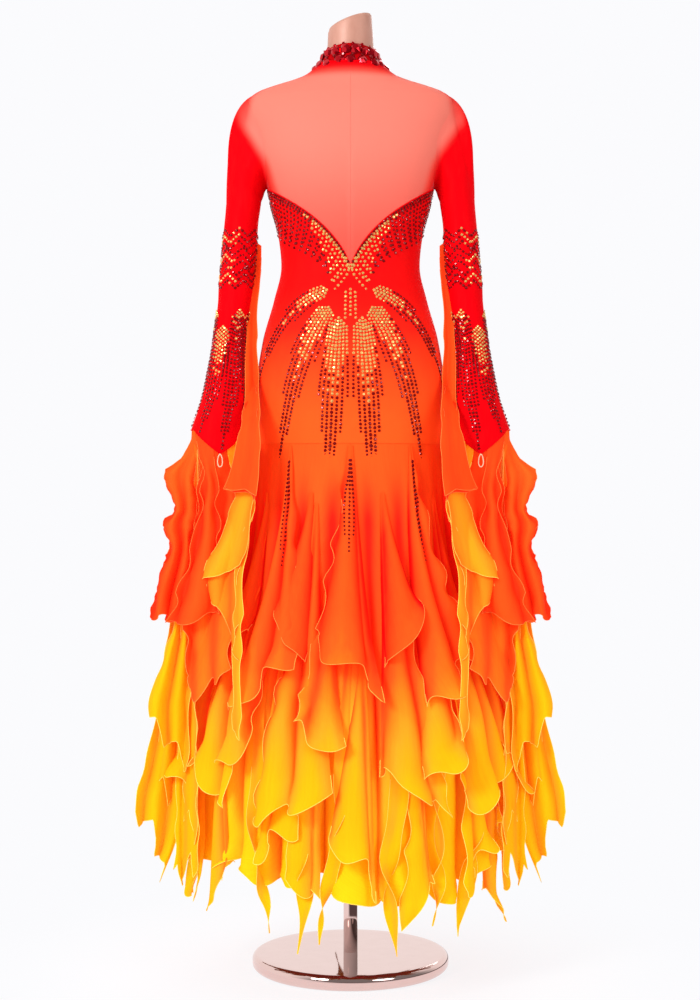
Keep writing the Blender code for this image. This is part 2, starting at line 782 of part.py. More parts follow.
def make_flounces():
    """The flounces let into the skirt: each falls from a narrow apex and spreads to a waved hem."""
    for flounces, cut in ((SHORT_FLOUNCES, SHORT_CUT), (LONG_FLOUNCES, LONG_CUT)):
        for flounce in flounces:
            rows = []
            for i in range(cut.rows + 1):
                fall = i / cut.rows
                half = lerp(1.6, cut.spread, fall**1.15)
                row = []
                for j in range(cut.columns + 1):
                    across = 2 * j / cut.columns - 1
                    z = lerp(cut.apex, flounce.hem + flounce.slant * across, fall)
                    wave = 0.5 + 0.5 * math.cos(math.pi * cut.waves * across)
                    out = stand_off(cut.apex, z, cut.stand_off) + cut.wave_depth * fall * wave
                    row.append(over_skirt(flounce.angle + flounce.turn * fall + half * across, z, out))
                rows.append(row)
            cloth(flounce.name, rows, CHIFFON, CHIFFON_ORANGE)


def make_tails():
    """Long panels between skirt and flounces, which narrow to a hanging tail below the hem."""
    for tail in TAILS:
        rows = []
        for i in range(TAIL_ROWS + 1):
            fall = i / TAIL_ROWS
            z = lerp(TAIL_TOP, tail.tip, fall)
            half = lerp(0.003, tail.half_width, math.sin(math.pi * fall**1.2) ** 0.7)
            degrees = math.degrees(half / SKIRT_AT["back"](z))
            middle = tail.angle + tail.turn * fall
            row = []
            for j in range(TAIL_COLUMNS + 1):
                across = 2 * j / TAIL_COLUMNS - 1
                row.append(over_skirt(middle + degrees * across, z, stand_off(TAIL_TOP, z, 0.008)))
            rows.append(row)
        cloth(tail.name, rows, CHIFFON, CHIFFON_YELLOW)


# ---------------------------------------------------------------- ruffles on the sleeves
def clear_of_skirt(point, layer):
    """Moves a point of a sleeve's ruffle away, if it would lie in the skirt and its flounces."""
    margin = SKIRT_MARGIN + LAYER_GAP * layer * ease_in_out((LAYERS_TOP - point[2]) / 0.12)
    x, y, z = point
    if z > SKIRT_SEAM:
        side, back, front = (FORM_AT[name](z) + EASE + margin for name in ("side", "back", "front"))
    else:
        short = stand_off(SHORT_CUT.apex, z, SHORT_CUT.stand_off) + SHORT_CUT.wave_depth
        long = stand_off(LONG_CUT.apex, z, LONG_CUT.stand_off) + LONG_CUT.wave_depth
        out = flute_depth(z) + lerp(long, short, ease_in_out((z - 0.44) / 0.07)) + margin
        side, back, front = (SKIRT_AT[name](z) + out for name in ("side", "back", "front"))
    if y > -SIDE_ZONE:
        depth = back if y < 0 else front
        return np.array([max(x, side * math.sqrt(1 - (y / depth) ** 2)), y, z])
    limit = -back * math.sqrt(max(1 - (x / side) ** 2, 0.0))
    return np.array([x, min(y, limit), z])


def cuff_rim(angle, layer):
    """Where a ruffle is sewn: below the cuff's edge, or in a layer inside it."""
    rim = sleeve_rows()[-1]
    place = ((90 - angle) % 360) / 360 * len(rim)
    before = int(place) % len(rim)
    point = lerp(rim[before], rim[(before + 1) % len(rim)], place - int(place))
    if layer == 0:
        return point - np.array([0, 0, RIM_GAP])
    centre = np.array([SLEEVE_AT["x"](point[2]), SLEEVE_AT["y"](point[2]), point[2]])
    inset = (SLEEVE_CLOTH - CHIFFON) / 2 + (CHIFFON + 2 * SEAM) * layer
    return point + unit(centre - point) * inset + np.array([0, 0, RIM_INSIDE])


def ruffle_rows(top_row, hems, strips, wave_depth, waves, order):
    """Rows from the sewn edge down, which leave it gently and then follow the strips."""
    at = curves_of(strips)
    rows = []
    for i in range(RUFFLE_ROWS + 1):
        fall = i / RUFFLE_ROWS
        free = ease_in_out(fall / SEWN_SHARE)
        row = []
        for j, (top, hem) in enumerate(zip(top_row, hems)):
            across = j / (len(top_row) - 1)
            z = lerp(top[2], hem, fall)
            wave = wave_depth * fall * math.cos(2 * math.pi * waves * across)
            hanging = np.array([lerp(at["inner"](z), at["outer"](z), across), at["y"](z) - wave, z])
            point = lerp(np.array([top[0], top[1], z]), hanging, free)
            row.append(clear_of_skirt(point, order))
        rows.append(row)
    return rows


def make_ruffles():
    """The ruffles of each sleeve: along the inner arm, round the cuff, and down beside the skirt."""
    for ruffle in RUFFLES:
        shares = [j / RUFFLE_COLUMNS for j in range(RUFFLE_COLUMNS + 1)]
        turns = [lerp(ruffle.sewn_from, ruffle.sewn_to, share) for share in shares]
        top_row = [cuff_rim(angle, ruffle.sewn_layer) for angle in turns]
        hems = [lerp(ruffle.hem_outer, ruffle.hem_inner, (1 - share) ** ruffle.bow) for share in shares]
        rows = ruffle_rows(top_row, hems, ruffle.strips, ruffle.wave_depth, ruffle.waves, ruffle.order)
        both_sides(ruffle.name, rows, CHIFFON, CHIFFON_ORANGE)

    at = curves_of(ELBOW_STRIPS)
    top_row = [
        np.array([lerp(at["inner"](ELBOW_TOP), at["outer"](ELBOW_TOP), share), at["y"](ELBOW_TOP), ELBOW_TOP])
        for share in (0, 0.5, 1)
    ]
    hems = [lerp(ELBOW_HEM_INNER, ELBOW_HEM_OUTER, share) for share in (0, 0.5, 1)]
    rows = ruffle_rows(top_row, hems, ELBOW_STRIPS, ELBOW_WAVE, 0.5, len(RUFFLES))
    both_sides("ruffle_elbow", rows, CHIFFON, CHIFFON_ORANGE)


# ---------------------------------------------------------------- materials and assembly
clear_scene()
PART = bpy.data.collections.new("ballroom_dance_dress")
bpy.context.scene.collection.children.link(PART)

ROSE_GOLD = material("rose_gold", (0.72, 0.47, 0.42), 0.12, metallic=1.0)
FORM_SKIN = material("form_skin", (0.72, 0.40, 0.31), 0.45)
SHEER_RED = material("sheer_red", (0.93, 0.06, 0.04), 0.55, alpha=0.6)
CREPE_RED = material("crepe_red", (0.90, 0.01, 0.015), 0.55)
CRYSTAL_RED = material("crystal_red", (0.55, 0.0, 0.02), 0.08, metallic=0.4)
CHIFFON_ORANGE = material("chiffon_orange", (0.96, 0.14, 0.02), 0.6)
CHIFFON_YELLOW = material("chiffon_yellow", (0.97, 0.50, 0.01), 0.6)
ELASTIC = material("elastic", (0.9, 0.25, 0.15), 0.7)

make_base()
make_pole()
make_form()
make_collar()
make_yokes()
make_body()
make_sleeves()
make_skirt()
make_flounces()
make_tails()
make_ruffles()
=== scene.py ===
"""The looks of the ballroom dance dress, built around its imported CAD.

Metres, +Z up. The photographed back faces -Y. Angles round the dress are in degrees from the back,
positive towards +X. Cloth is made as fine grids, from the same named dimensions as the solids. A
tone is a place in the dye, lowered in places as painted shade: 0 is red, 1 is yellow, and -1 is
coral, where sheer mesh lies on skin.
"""

import math
import bpy
import numpy as np
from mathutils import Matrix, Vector


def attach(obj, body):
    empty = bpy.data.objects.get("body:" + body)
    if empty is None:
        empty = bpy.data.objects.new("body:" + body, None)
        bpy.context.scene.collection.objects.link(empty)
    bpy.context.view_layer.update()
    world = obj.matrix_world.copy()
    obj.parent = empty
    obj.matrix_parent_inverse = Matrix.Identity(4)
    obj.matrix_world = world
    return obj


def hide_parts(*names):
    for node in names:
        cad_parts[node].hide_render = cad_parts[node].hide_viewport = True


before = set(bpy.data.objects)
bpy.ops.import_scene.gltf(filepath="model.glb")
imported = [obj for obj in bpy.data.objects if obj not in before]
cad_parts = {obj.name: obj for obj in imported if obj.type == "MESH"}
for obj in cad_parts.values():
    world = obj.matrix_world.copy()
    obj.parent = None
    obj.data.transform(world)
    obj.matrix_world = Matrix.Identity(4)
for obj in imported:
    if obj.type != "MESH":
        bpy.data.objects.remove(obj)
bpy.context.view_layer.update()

# -------- dimensions shared with the solids
SEAM = 0.0003
BASE_RADIUS = 0.175
BASE_THICKNESS = 0.026
BASE_EDGE = 0.010
POLE_RADIUS = 0.0125
FORM_BOTTOM = 0.860
NECK_TOP = 1.665
NECK_TOP_LOW = 1.673
NECK_TOP_HIGH = 1.702
EASE = 0.0045
COLLAR_BOTTOM = 1.602
COLLAR_TOP = 1.644
COLLAR_SETTLES = 0.007
COLLAR_WALL = 0.0024
BACK_POINT = 1.232
FRONT_POINT = 1.335
ARMPIT = 1.386
SHOULDER_TIP = 1.552
ARMHOLE_DEPTH = 27.0
SKIRT_SEAM = 0.930
HEM = 0.188
HEM_SIDE_RISE = 0.058
HEM_SCALLOP = 0.018
FLUTES = 20
FLUTE_DEPTH = 0.024
FLUTE_GROWTH = 1.3
SKIRT_POWER = 2.15
HANGING_GAP = 0.0014
SHORT_APEX = 0.926
SHORT_STAND_OFF = 0.048
SHORT_FOLD = 0.012
LONG_APEX = 0.826
LONG_STAND_OFF = 0.018
LONG_FOLD = 0.014
TAIL_TOP = 0.600
WRIST = 0.960
CUFF_EDGE = 0.955
CUFF_POINT = 0.043
CUFF_POINT_ANGLE = -90 / 7
LOOP_DROP = 0.022
LOOP_RADIUS = 0.0009
SLEEVE_PULL = 0.9

# z, half width, reach back, reach front, power
FORM = (
    (FORM_BOTTOM, 0.1580, 0.118, 0.103, 2.15),
    (0.940, 0.1650, 0.127, 0.108, 2.15),
    (1.030, 0.1635, 0.130, 0.109, 2.2),
    (1.111, 0.1525, 0.119, 0.107, 2.2),
    (1.186, 0.1320, 0.093, 0.100, 2.2),
    (1.248, 0.1190, 0.077, 0.091, 2.15),
    (1.311, 0.1255, 0.088, 0.104, 2.15),
    (1.355, 0.1370, 0.097, 0.119, 2.1),
    (ARMPIT, 0.1435, 0.102, 0.117, 2.1),
    (1.430, 0.1570, 0.104, 0.107, 2.1),
    (1.480, 0.1710, 0.101, 0.093, 2.05),
    (1.520, 0.1810, 0.092, 0.079, 2.0),
    (1.540, 0.1800, 0.083, 0.071, 1.95),
    (1.553, 0.1670, 0.075, 0.065, 1.9),
    (1.563, 0.1410, 0.069, 0.060, 1.9),
    (1.573, 0.1075, 0.063, 0.056, 1.9),
    (1.583, 0.0815, 0.058, 0.053, 1.95),
    (1.596, 0.0640, 0.053, 0.050, 2.0),
    (1.612, 0.0495, 0.047, 0.046, 2.0),
    (1.632, 0.0420, 0.043, 0.042, 2.0),
    (NECK_TOP, 0.0400, 0.042, 0.041, 2.0),
    (NECK_TOP_HIGH, 0.0385, 0.041, 0.040, 2.0),
)
# z, centre x, centre y, half width, half depth
SLEEVE = (
    (0.900, 0.2400, -0.047, 0.0580, 0.049),
    (0.960, 0.2315, -0.045, 0.0475, 0.043),
    (1.010, 0.2215, -0.042, 0.0405, 0.038),
    (1.056, 0.2165, -0.038, 0.0360, 0.033),
    (1.111, 0.2125, -0.034, 0.0305, 0.030),
    (1.168, 0.2060, -0.030, 0.0300, 0.031),
    (1.230, 0.2005, -0.025, 0.0305, 0.033),
    (1.268, 0.1975, -0.020, 0.0305, 0.034),
    (1.318, 0.1945, -0.014, 0.0300, 0.035),
    (1.360, 0.1895, -0.010, 0.0310, 0.037),
)
# z, side, back, front
SKIRT = (
    (0.150, 0.238, 0.240, 0.232),
    (0.250, 0.248, 0.230, 0.222),
    (0.350, 0.253, 0.216, 0.207),
    (0.450, 0.248, 0.198, 0.188),
    (0.560, 0.222, 0.178, 0.167),
    (0.700, 0.187, 0.154, 0.141),
    (0.830, 0.171, 0.137, 0.121),
    (SKIRT_SEAM, 0.1692, 0.1302, 0.1118),
)
PANEL_STEP = 36
# name, hem, slant, turn: the first hangs at the back, and each next one a step further round
SHORT_FLOUNCES = (
    ("flounce_back_1", 0.560, -0.050, -2),
    ("flounce_back_2", 0.525, 0.045, 3),
    ("flounce_side_1", 0.555, -0.030, 2),
    ("flounce_side_2", 0.540, 0.040, -2),
    ("flounce_front_1", 0.570, 0.045, -2),
    ("flounce_front_2", 0.540, -0.045, 2),
    ("flounce_front_3", 0.575, -0.040, 1),
    ("flounce_side_3", 0.545, -0.025, 2),
    ("flounce_side_4", 0.560, -0.030, -2),
    ("flounce_back_3", 0.515, 0.050, 3),
)
# the same, from half a step further round
LONG_FLOUNCES = (
    ("panel_back_1", 0.350, -0.030, 1),
    ("panel_side_1", 0.335, 0.025, -2),
    ("panel_side_2", 0.345, -0.020, 2),
    ("panel_front_1", 0.330, 0.025, -1),
    ("panel_front_2", 0.350, -0.025, 1),
    ("panel_front_3", 0.335, 0.025, -1),
    ("panel_front_4", 0.345, -0.020, 2),
    ("panel_side_3", 0.335, 0.025, -2),
    ("panel_side_4", 0.345, -0.025, 1),
    ("panel_back_2", 0.335, 0.015, -2),
)
# name, angle, half width, tip, turn
TAILS = (
    ("tail_back_1", -36, 0.018, 0.118, 6),
    ("tail_back_2", -18, 0.022, 0.088, 1),
    ("tail_back_3", 0, 0.018, 0.105, -7),
    ("tail_back_4", 18, 0.025, 0.085, -5),
    ("tail_back_5", 36, 0.020, 0.128, -9),
    ("tail_side", 54, 0.022, 0.105, -12),
    ("tail_front", 180, 0.028, 0.095, 5),
)

# -------- cuts that only the looks need
PANEL_COLUMNS = 45
# spread, stand off, folds, depth of a fold, zigzag
SHORT_CUT = (13.5, 0.050, 1.6, 0.026, 0.010)
LONG_CUT = (13.0, 0.020, 1.7, 0.024, 0.014)
# degrees beside its neighbour, their swing and rate, apex, hem, its swing and rate, slant and turn
# as shares of the neighbour's, cut as above
EXTRA_PANELS = {
    "tucked": (17, 3, 2.0, 0.845, 0.590, 0.035, 3.1, -1.0, -1, (9.5, 0.040, 1.0, 0.022, 0.012)),
    "golden": (13, 4, 1.9, 0.700, 0.405, 0.045, 4.3, -1.5, 1, (8.0, 0.088, 1.0, 0.014, 0.012)),
    "low": (-14, 4, 2.3, 0.560, 0.235, 0.035, 3.7, 1.6, -2, (7.0, 0.026, 1.2, 0.016, 0.014)),
    "pillar": (4, 3, 2.9, 0.480, 0.172, 0.020, 5.1, -1.2, 1, (6.0, 0.020, 1.0, 0.014, 0.012)),
}
# how far a panel's left and right side hang free: 0 where it is sewn in, 1 where it curls
FREE_SIDES = ((1, 0), (0, 1), (0, 0), (0.8, 0), (0, 0.6))

# Where the right sleeve's ruffles hang: z, inner, outer, y
LOWER_2_STRIPS = (
    (0.176, 0.270, 0.304, -0.084), (0.245, 0.260, 0.302, -0.082), (0.320, 0.261, 0.301, -0.080),
    (0.500, 0.268, 0.300, -0.073), (0.620, 0.270, 0.294, -0.063), (0.750, 0.268, 0.287, -0.056),
    (0.880, 0.262, 0.280, -0.052),
)
LOWER_3_STRIPS = (
    (0.165, 0.334, 0.382, -0.066), (0.230, 0.308, 0.382, -0.065), (0.288, 0.296, 0.380, -0.064),
    (0.400, 0.290, 0.354, -0.060), (0.500, 0.284, 0.334, -0.056), (0.620, 0.280, 0.318, -0.051),
    (0.750, 0.266, 0.288, -0.044), (0.880, 0.256, 0.270, -0.040),
)
INNER_STRIPS = (
    (0.430, 0.181, 0.250, -0.118), (0.600, 0.182, 0.256, -0.117), (0.690, 0.181, 0.258, -0.117),
    (0.718, 0.180, 0.247, -0.114), (0.770, 0.172, 0.225, -0.102), (0.835, 0.162, 0.199, -0.079),
)
ELBOW_STRIPS = (
    (0.838, 0.156, 0.2210, -0.092), (0.886, 0.151, 0.2030, -0.088), (0.928, 0.152, 0.1880, -0.079),
    (0.970, 0.154, 0.1800, -0.069), (1.012, 0.157, 0.1780, -0.060), (1.068, 0.162, 0.1770, -0.051),
    (1.137, 0.164, 0.1760, -0.043), (1.220, 0.162, 0.1665, -0.031), (1.288, 0.158, 0.1653, -0.020),
)
ELBOW_TOP = 1.288
ELBOW_HEMS = (0.839, 0.856)


def inset(strips, inner, outer, back=-0.002):
    """The part of the strips between two shares of their width, a little further back."""
    return [(z, a + (b - a) * inner, a + (b - a) * outer, y + back) for z, a, b, y in strips]


# name, own node, sewn from, sewn to, hem inner, hem outer, bow, folds, order, tones (top, hem), phase,
# tuck, frill, zigzag, strips
RUFFLES = (
    ("centre", True, 0, 50, 0.640, 0.612, 1.0, 1.5, 4, (0.33, 0.40), 1.7, 0.0010, 0.0055, 0.005, (
        (0.612, 0.214, 0.324, -0.106), (0.691, 0.219, 0.298, -0.102), (0.744, 0.223, 0.279, -0.099),
        (0.798, 0.227, 0.266, -0.096), (0.865, 0.230, 0.257, -0.093),
    )),
    ("outer", True, 53, 102.9, 0.624, 0.630, 1.0, 2, 3, (0.46, 0.36), 3.4, 0.0010, 0.0055, 0.003, (
        (0.628, 0.292, 0.350, -0.087), (0.674, 0.284, 0.342, -0.084), (0.750, 0.274, 0.319, -0.078),
        (0.790, 0.272, 0.327, -0.075), (0.817, 0.270, 0.312, -0.073), (0.873, 0.269, 0.327, -0.068),
        (0.903, 0.265, 0.314, -0.063), (0.940, 0.258, 0.296, -0.056),
    )),
    ("under", True, -51.4, 19.3, 0.543, 0.487, 1.0, 2, 3, (0.30, 0.54), 5.1, 0.0025, 0.0055, 0.014, (
        (0.487, 0.208, 0.278, -0.090), (0.552, 0.2075, 0.287, -0.088), (0.620, 0.206, 0.292, -0.086),
        (0.800, 0.200, 0.270, -0.075),
    )),
    ("front", True, 250, 110, 0.600, 0.660, 1.0, 3, 0, (0.38, 0.46), 6.8, 0.0010, 0.0055, 0.014, (
        (0.600, 0.262, 0.345, 0.012), (0.700, 0.242, 0.330, 0.010), (0.850, 0.216, 0.304, 0.006),
    )),
    ("lower_1", True, 47, 100, 0.365, 0.450, 1.0, 2, 2, (0.50, 0.93), 8.5, 0.0025, 0.0022, 0.022, (
        (0.365, 0.276, 0.344, -0.095), (0.467, 0.276, 0.349, -0.089), (0.517, 0.275, 0.337, -0.085),
        (0.620, 0.276, 0.308, -0.073), (0.750, 0.275, 0.293, -0.066), (0.880, 0.266, 0.286, -0.060),
    )),
    ("lower_2", True, 47, 100, 0.215, 0.176, 1.0, 1.5, 1, (0.50, 0.95), 10.2, 0.0025, 0.0022, 0.024,
        LOWER_2_STRIPS),
    ("lower_3", True, 47, 100, 0.165, 0.288, 1.4, 2, 0, (0.50, 0.92), 11.9, 0.0025, 0.0022, 0.026,
        LOWER_3_STRIPS),
    # shorter tiers over the lower ruffles, each with its own zigzag hem
    ("tier_1", False, 50, 98, 0.330, 0.318, 1.0, 1.5, 1.5, (0.45, 0.88), 0.8, 0.0020, 0.0022, 0.026,
        inset(LOWER_3_STRIPS, 0.00, 0.78)),
    ("tier_2", False, 50, 98, 0.262, 0.285, 1.0, 1.0, 1.2, (0.45, 0.90), 3.1, 0.0020, 0.0022, 0.026,
        inset(LOWER_2_STRIPS, 0.02, 0.70)),
    # the inner panel is three cloths, one over the other: a short float, a curly one and a ribbon
    ("inner", True, -77.1, -25.7, 0.722, 0.694, 1.0, 1.0, 5, (0.74, 0.78), 2.6, 0.0010, 0.003, 0.002,
        INNER_STRIPS),
    ("inner_curly", False, -73.1, -31.7, 0.570, 0.690, 1.0, 1.5, 4, (0.60, 0.66), 0.4, 0.0014, 0.007, 0.010,
        [(z, a + 0.004, b - 0.003, y + 0.007) for z, a, b, y in INNER_STRIPS]),
    ("inner_ribbon", False, -77.1, -25.7, 0.430, 0.450, 1.0, 0.5, 4.5, (0.74, 0.84), 0.9, 0.0012, 0.003, 0.0,
        [(z, a, a + 0.017, y + 0.003) for z, a, b, y in INNER_STRIPS]),
)
SEWN_SHARE = 0.25
SKIRT_MARGIN = 0.005
LAYER_GAP = 0.007
LAYERS_TOP = 1.06
SIDE_ZONE = 0.020
HEM_RADIUS = 0.0006
SCALLOP = (0.0016, 0.025)
# painted highlight: how much paler a yellow ruffle's rim is
RIM_HIGHLIGHT_LIFT = 0.06
RIM_START = 3
TAIL_RIM_START = 40


# -------- curves and surfaces
def curve_through(heights, values):
    """A smooth curve through the points, which never overshoots them. It takes arrays."""
    heights, values = np.array(heights, float), np.array(values, float)
    step = np.diff(values) / np.diff(heights)
    product = step[:-1] * step[1:]
    total = np.where(product > 0, step[:-1] + step[1:], 1.0)
    slope = np.concatenate([step[:1], np.where(product > 0, 2 * product / total, 0.0), step[-1:]])

    def at(height):
        height = np.clip(np.asarray(height, float), heights[0], heights[-1])
        i = np.clip(np.searchsorted(heights, height) - 1, 0, len(step) - 1)
        span = heights[i + 1] - heights[i]
        t = (height - heights[i]) / span
        start = values[i] * (1 + 2 * t) + span * slope[i] * t
        end = values[i + 1] * (3 - 2 * t) - span * slope[i + 1] * (1 - t)
        return start * (1 - t) ** 2 + end * t * t

    return at


def curves_of(table):
    columns = list(zip(*table))
    return [curve_through(columns[0], column) for column in columns[1:]]


FORM_AT = curves_of(FORM)
SLEEVE_AT = curves_of(SLEEVE)
SKIRT_AT = curves_of(SKIRT)


def points(x, y, z):
    return np.stack(np.broadcast_arrays(x, y, z), axis=-1)


def lerp(a, b, t):
    return a + (b - a) * t


def smooth(t):
    t = np.clip(t, 0.0, 1.0)
    return t * t * (3 - 2 * t)


def bump(turn):
    """A wave from 0 to 1: it starts at 1, where the turn is 0."""
    return 0.5 + 0.5 * np.cos(turn)


def unit(vectors):
    return vectors / np.maximum(np.linalg.norm(vectors, axis=-1, keepdims=True), 1e-12)


def run_along(where, axis=0):
    """How far each point lies from the first one, along the line of points."""
    steps = np.linalg.norm(np.diff(where, axis=axis), axis=-1)
    return np.insert(np.cumsum(steps, axis=axis), 0, 0.0, axis=axis)


def section_point(angle, z, side, back, front, power):
    """A point on a rounded section. A power of 2 makes it elliptic, and a higher one boxier."""
    turn = np.radians(angle)
    sine, cosine = np.sin(turn), np.cos(turn)
    x = side * np.sign(sine) * np.abs(sine) ** (2 / power)
    y = -np.where(cosine > 0, back, front) * np.sign(cosine) * np.abs(cosine) ** (2 / power)
    return points(x, y, z)


def normal_of(surface, angle, z):
    around = surface(angle + 0.5, z) - surface(angle - 0.5, z)
    up = surface(angle, z + 0.001) - surface(angle, z - 0.001)
    return unit(np.cross(around, up))


def form_point(angle, z):
    return section_point(angle, z, *(at(z) for at in FORM_AT))


def off_form(angle, z, out):
    return form_point(angle, z) + normal_of(form_point, angle, z) * out


def dress_point(angle, z, out=0.0):
    return off_form(angle, z, EASE + np.asarray(out)[..., None])


def neckline_height(from_centre, low):
    reach = 1 - np.minimum(np.abs(from_centre) / 90, 1.0)
    return lerp(low, ARMPIT, (1 - reach**1.55) ** 0.6)


def armhole_angle(z):
    share = np.clip((z - ARMPIT) / (SHOULDER_TIP - ARMPIT), 0.0, 1.0)
    return 90 - ARMHOLE_DEPTH * np.sin(np.pi * share) ** 0.8


def flute_depth(z):
    fallen = (SKIRT_SEAM - z) / (SKIRT_SEAM - HEM)
    return FLUTE_DEPTH * np.maximum(fallen, 0.0) ** FLUTE_GROWTH


def skirt_reach(angle, z, out):
    return section_point(angle, z, *(at(z) + out for at in SKIRT_AT), SKIRT_POWER)


def over_skirt(angle, z, out):
    return skirt_reach(angle, z, flute_depth(z) + out)


def skirt_hem(angle):
    rise = HEM_SIDE_RISE * np.sin(np.radians(angle)) ** 4
    return HEM + rise - HEM_SCALLOP * np.cos(np.radians(3 * (angle - 30)))


def sleeve_point(angle, z, out=0.0):
    x, y, side, depth = (at(z) for at in SLEEVE_AT)
    turn = np.radians(angle)
    return points(x + (side + out) * np.sin(turn), y - (depth + out) * np.cos(turn), z)


def cuff_height(angle):
    away = np.abs((angle - CUFF_POINT_ANGLE + 180) % 360 - 180)
    return CUFF_EDGE - CUFF_POINT * np.maximum(1 - away / 72, 0.0) ** 1.15


# How the dye runs from red to yellow, by height.
DYE = curve_through(
    (0.10, 0.25, 0.37, 0.44, 0.50, 0.56, 0.66, 0.80, 0.95, 1.08, 1.21, 1.60),
    (1.00, 0.97, 0.88, 0.77, 0.63, 0.48, 0.39, 0.36, 0.35, 0.21, 0.04, 0.00),
)
# Half the width of the coral on the shoulders, by height.
CORAL_EDGE = curve_through(
    (1.36, 1.386, 1.421, 1.457, 1.511, 1.560, 1.610),
    (0.128, 0.137, 0.147, 0.167, 0.198, 0.216, 0.216),
)


# -------- meshes
LEFT = np.array([-1.0, 1.0, 1.0])


def linked(name, data):
    obj = bpy.data.objects.new(name, data)
    bpy.context.scene.collection.objects.link(obj)
    return obj


def fill(target, key, values, kind=np.int32):
    target.foreach_set(key, values.astype(kind).ravel())


class Piece:
    """A mesh in the making: grids of cloth, tubes and stones."""

    def __init__(self):
        self.points, self.faces, self.uvs, self.tones, self.slots, self.flat_faces = [], [], [], [], [], []
        self.count = 0
        self.width = self.length = self.area = 0.0

    def add(self, where, faces, uv, tone, slot, flat=False):
        where, faces = np.asarray(where, float).reshape(-1, 3), np.asarray(faces, int)
        self.points.append(where)
        self.uvs.append(np.asarray(uv, float).reshape(-1, 2))
        self.tones.append(np.broadcast_to(np.asarray(tone, float).reshape(-1), (len(where),)))
        self.faces.append(faces + self.count)
        self.slots.append(np.full(len(faces), slot))
        self.flat_faces.append(np.full(len(faces), flat))
        self.count += len(where)

    def grid(self, rows, tone, slot=0, closed=False):
        """A grid of quads through rows of points that run down. It measures its own flat size."""
        high, wide = rows.shape[:2]
        ring, index = rows, np.arange(high * wide).reshape(high, wide)
        if closed:
            ring, index = (np.concatenate([made, made[:, :1]], axis=1) for made in (ring, index))
        faces = np.stack([index[:-1, :-1], index[1:, :-1], index[1:, 1:], index[:-1, 1:]], -1)
        across, down = run_along(ring, 1), run_along(ring)
        uv = np.stack([across - across[:, wide - 1 : wide] / 2, down], -1)[:, :wide]
        diagonals = ring[1:, 1:] - ring[:-1, :-1], ring[1:, :-1] - ring[:-1, 1:]
        quads = np.linalg.norm(np.cross(*diagonals), axis=-1) / 2
        steps = np.diff(down, axis=0)
        tall = np.maximum((steps[:, 1:] + steps[:, :-1]) / 2, 1e-6)
        self.area += float(quads.sum())
        self.width = max(self.width, float((quads / tall).sum(axis=1).max()))
        self.length = max(self.length, float(down[-1].max()))
        self.add(rows, faces.reshape(-1, 4), uv, np.broadcast_to(tone, (high, wide)), slot)

    def tube(self, path, radius, tone, slot=1, closed=False, sides=5):
        """A round cord along the path, as a rolled hem or a binding."""
        ahead = np.roll(path, -1, 0) - np.roll(path, 1, 0)
        if not closed:
            ahead[0], ahead[-1] = path[1] - path[0], path[-1] - path[-2]
        ahead = unit(ahead)
        side = np.empty_like(ahead)
        start = np.cross(ahead[0], (0.0, 0.0, 1.0))
        side[0] = unit(start if np.linalg.norm(start) > 0.1 else np.cross(ahead[0], (1.0, 0.0, 0.0)))
        for i in range(1, len(path)):
            side[i] = unit(side[i - 1] - ahead[i] * np.dot(side[i - 1], ahead[i]))
        other = np.cross(ahead, side)
        turns = np.arange(sides) * 2 * np.pi / sides
        sine, cosine = (wave(turns)[None, :, None] for wave in (np.sin, np.cos))
        ring = path[:, None] + radius * (side[:, None] * cosine + other[:, None] * sine)
        index = np.arange(len(path) * sides).reshape(len(path), sides)
        if closed:
            index = np.concatenate([index, index[:1]], axis=0)
        nxt = np.roll(index, -1, axis=1)
        faces = np.stack([index[:-1], nxt[:-1], nxt[1:], index[1:]], -1).reshape(-1, 4)
        uv = np.stack(np.broadcast_arrays(turns * 0.0011, run_along(path)[:, None]), -1)
        tone = np.broadcast_to(np.asarray(tone, float).reshape(-1, 1), (len(path), sides))
        self.add(ring, faces, uv, tone, slot)

    def make(self, name, materials, slot=None, *nodes):
        """The object, in place of the CAD nodes that it stands for. The slot is not used."""
        data = bpy.data.meshes.new(name)
        corners = np.concatenate([faces.ravel() for faces in self.faces])
        totals = np.concatenate([np.full(len(faces), faces.shape[1]) for faces in self.faces])
        data.vertices.add(self.count)
        data.loops.add(len(corners))
        data.polygons.add(len(totals))
        fill(data.vertices, "co", np.concatenate(self.points), np.float32)
        fill(data.loops, "vertex_index", corners)
        fill(data.polygons, "loop_start", np.cumsum(totals) - totals)
        fill(data.polygons, "loop_total", totals)
        for made in materials:
            data.materials.append(made)
        data.update(calc_edges=True)
        fill(data.polygons, "material_index", np.concatenate(self.slots))
        fill(data.polygons, "use_smooth", ~np.concatenate(self.flat_faces), bool)
        fill(data.uv_layers.new(name="Cloth").data, "uv", np.concatenate(self.uvs)[corners], np.float32)
        tones = data.attributes.new("tone", "FLOAT", "POINT").data
        fill(tones, "value", np.concatenate(self.tones), np.float32)
        data.update()
        obj = linked(name, data)
        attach(obj, "root")
        if nodes:
            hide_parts(*nodes)
        return obj


def sheet(name, nodes, rows, tone, edges, materials, slot, held, rests_on, closed=False):
    """A piece of cloth with its hems and bindings."""
    piece = Piece()
    piece.grid(rows, tone, closed=closed)
    for path, radius, shade in edges:
        piece.tube(path, radius, shade, closed=closed)
    obj = piece.make(name, materials, slot, *nodes)


def mirrored(rows, tone):
    """The right-hand piece, and the same one on the left side of the dress."""
    yield "right", rows, tone
    yield "left", rows[:, ::-1] * LEFT, tone[:, ::-1]


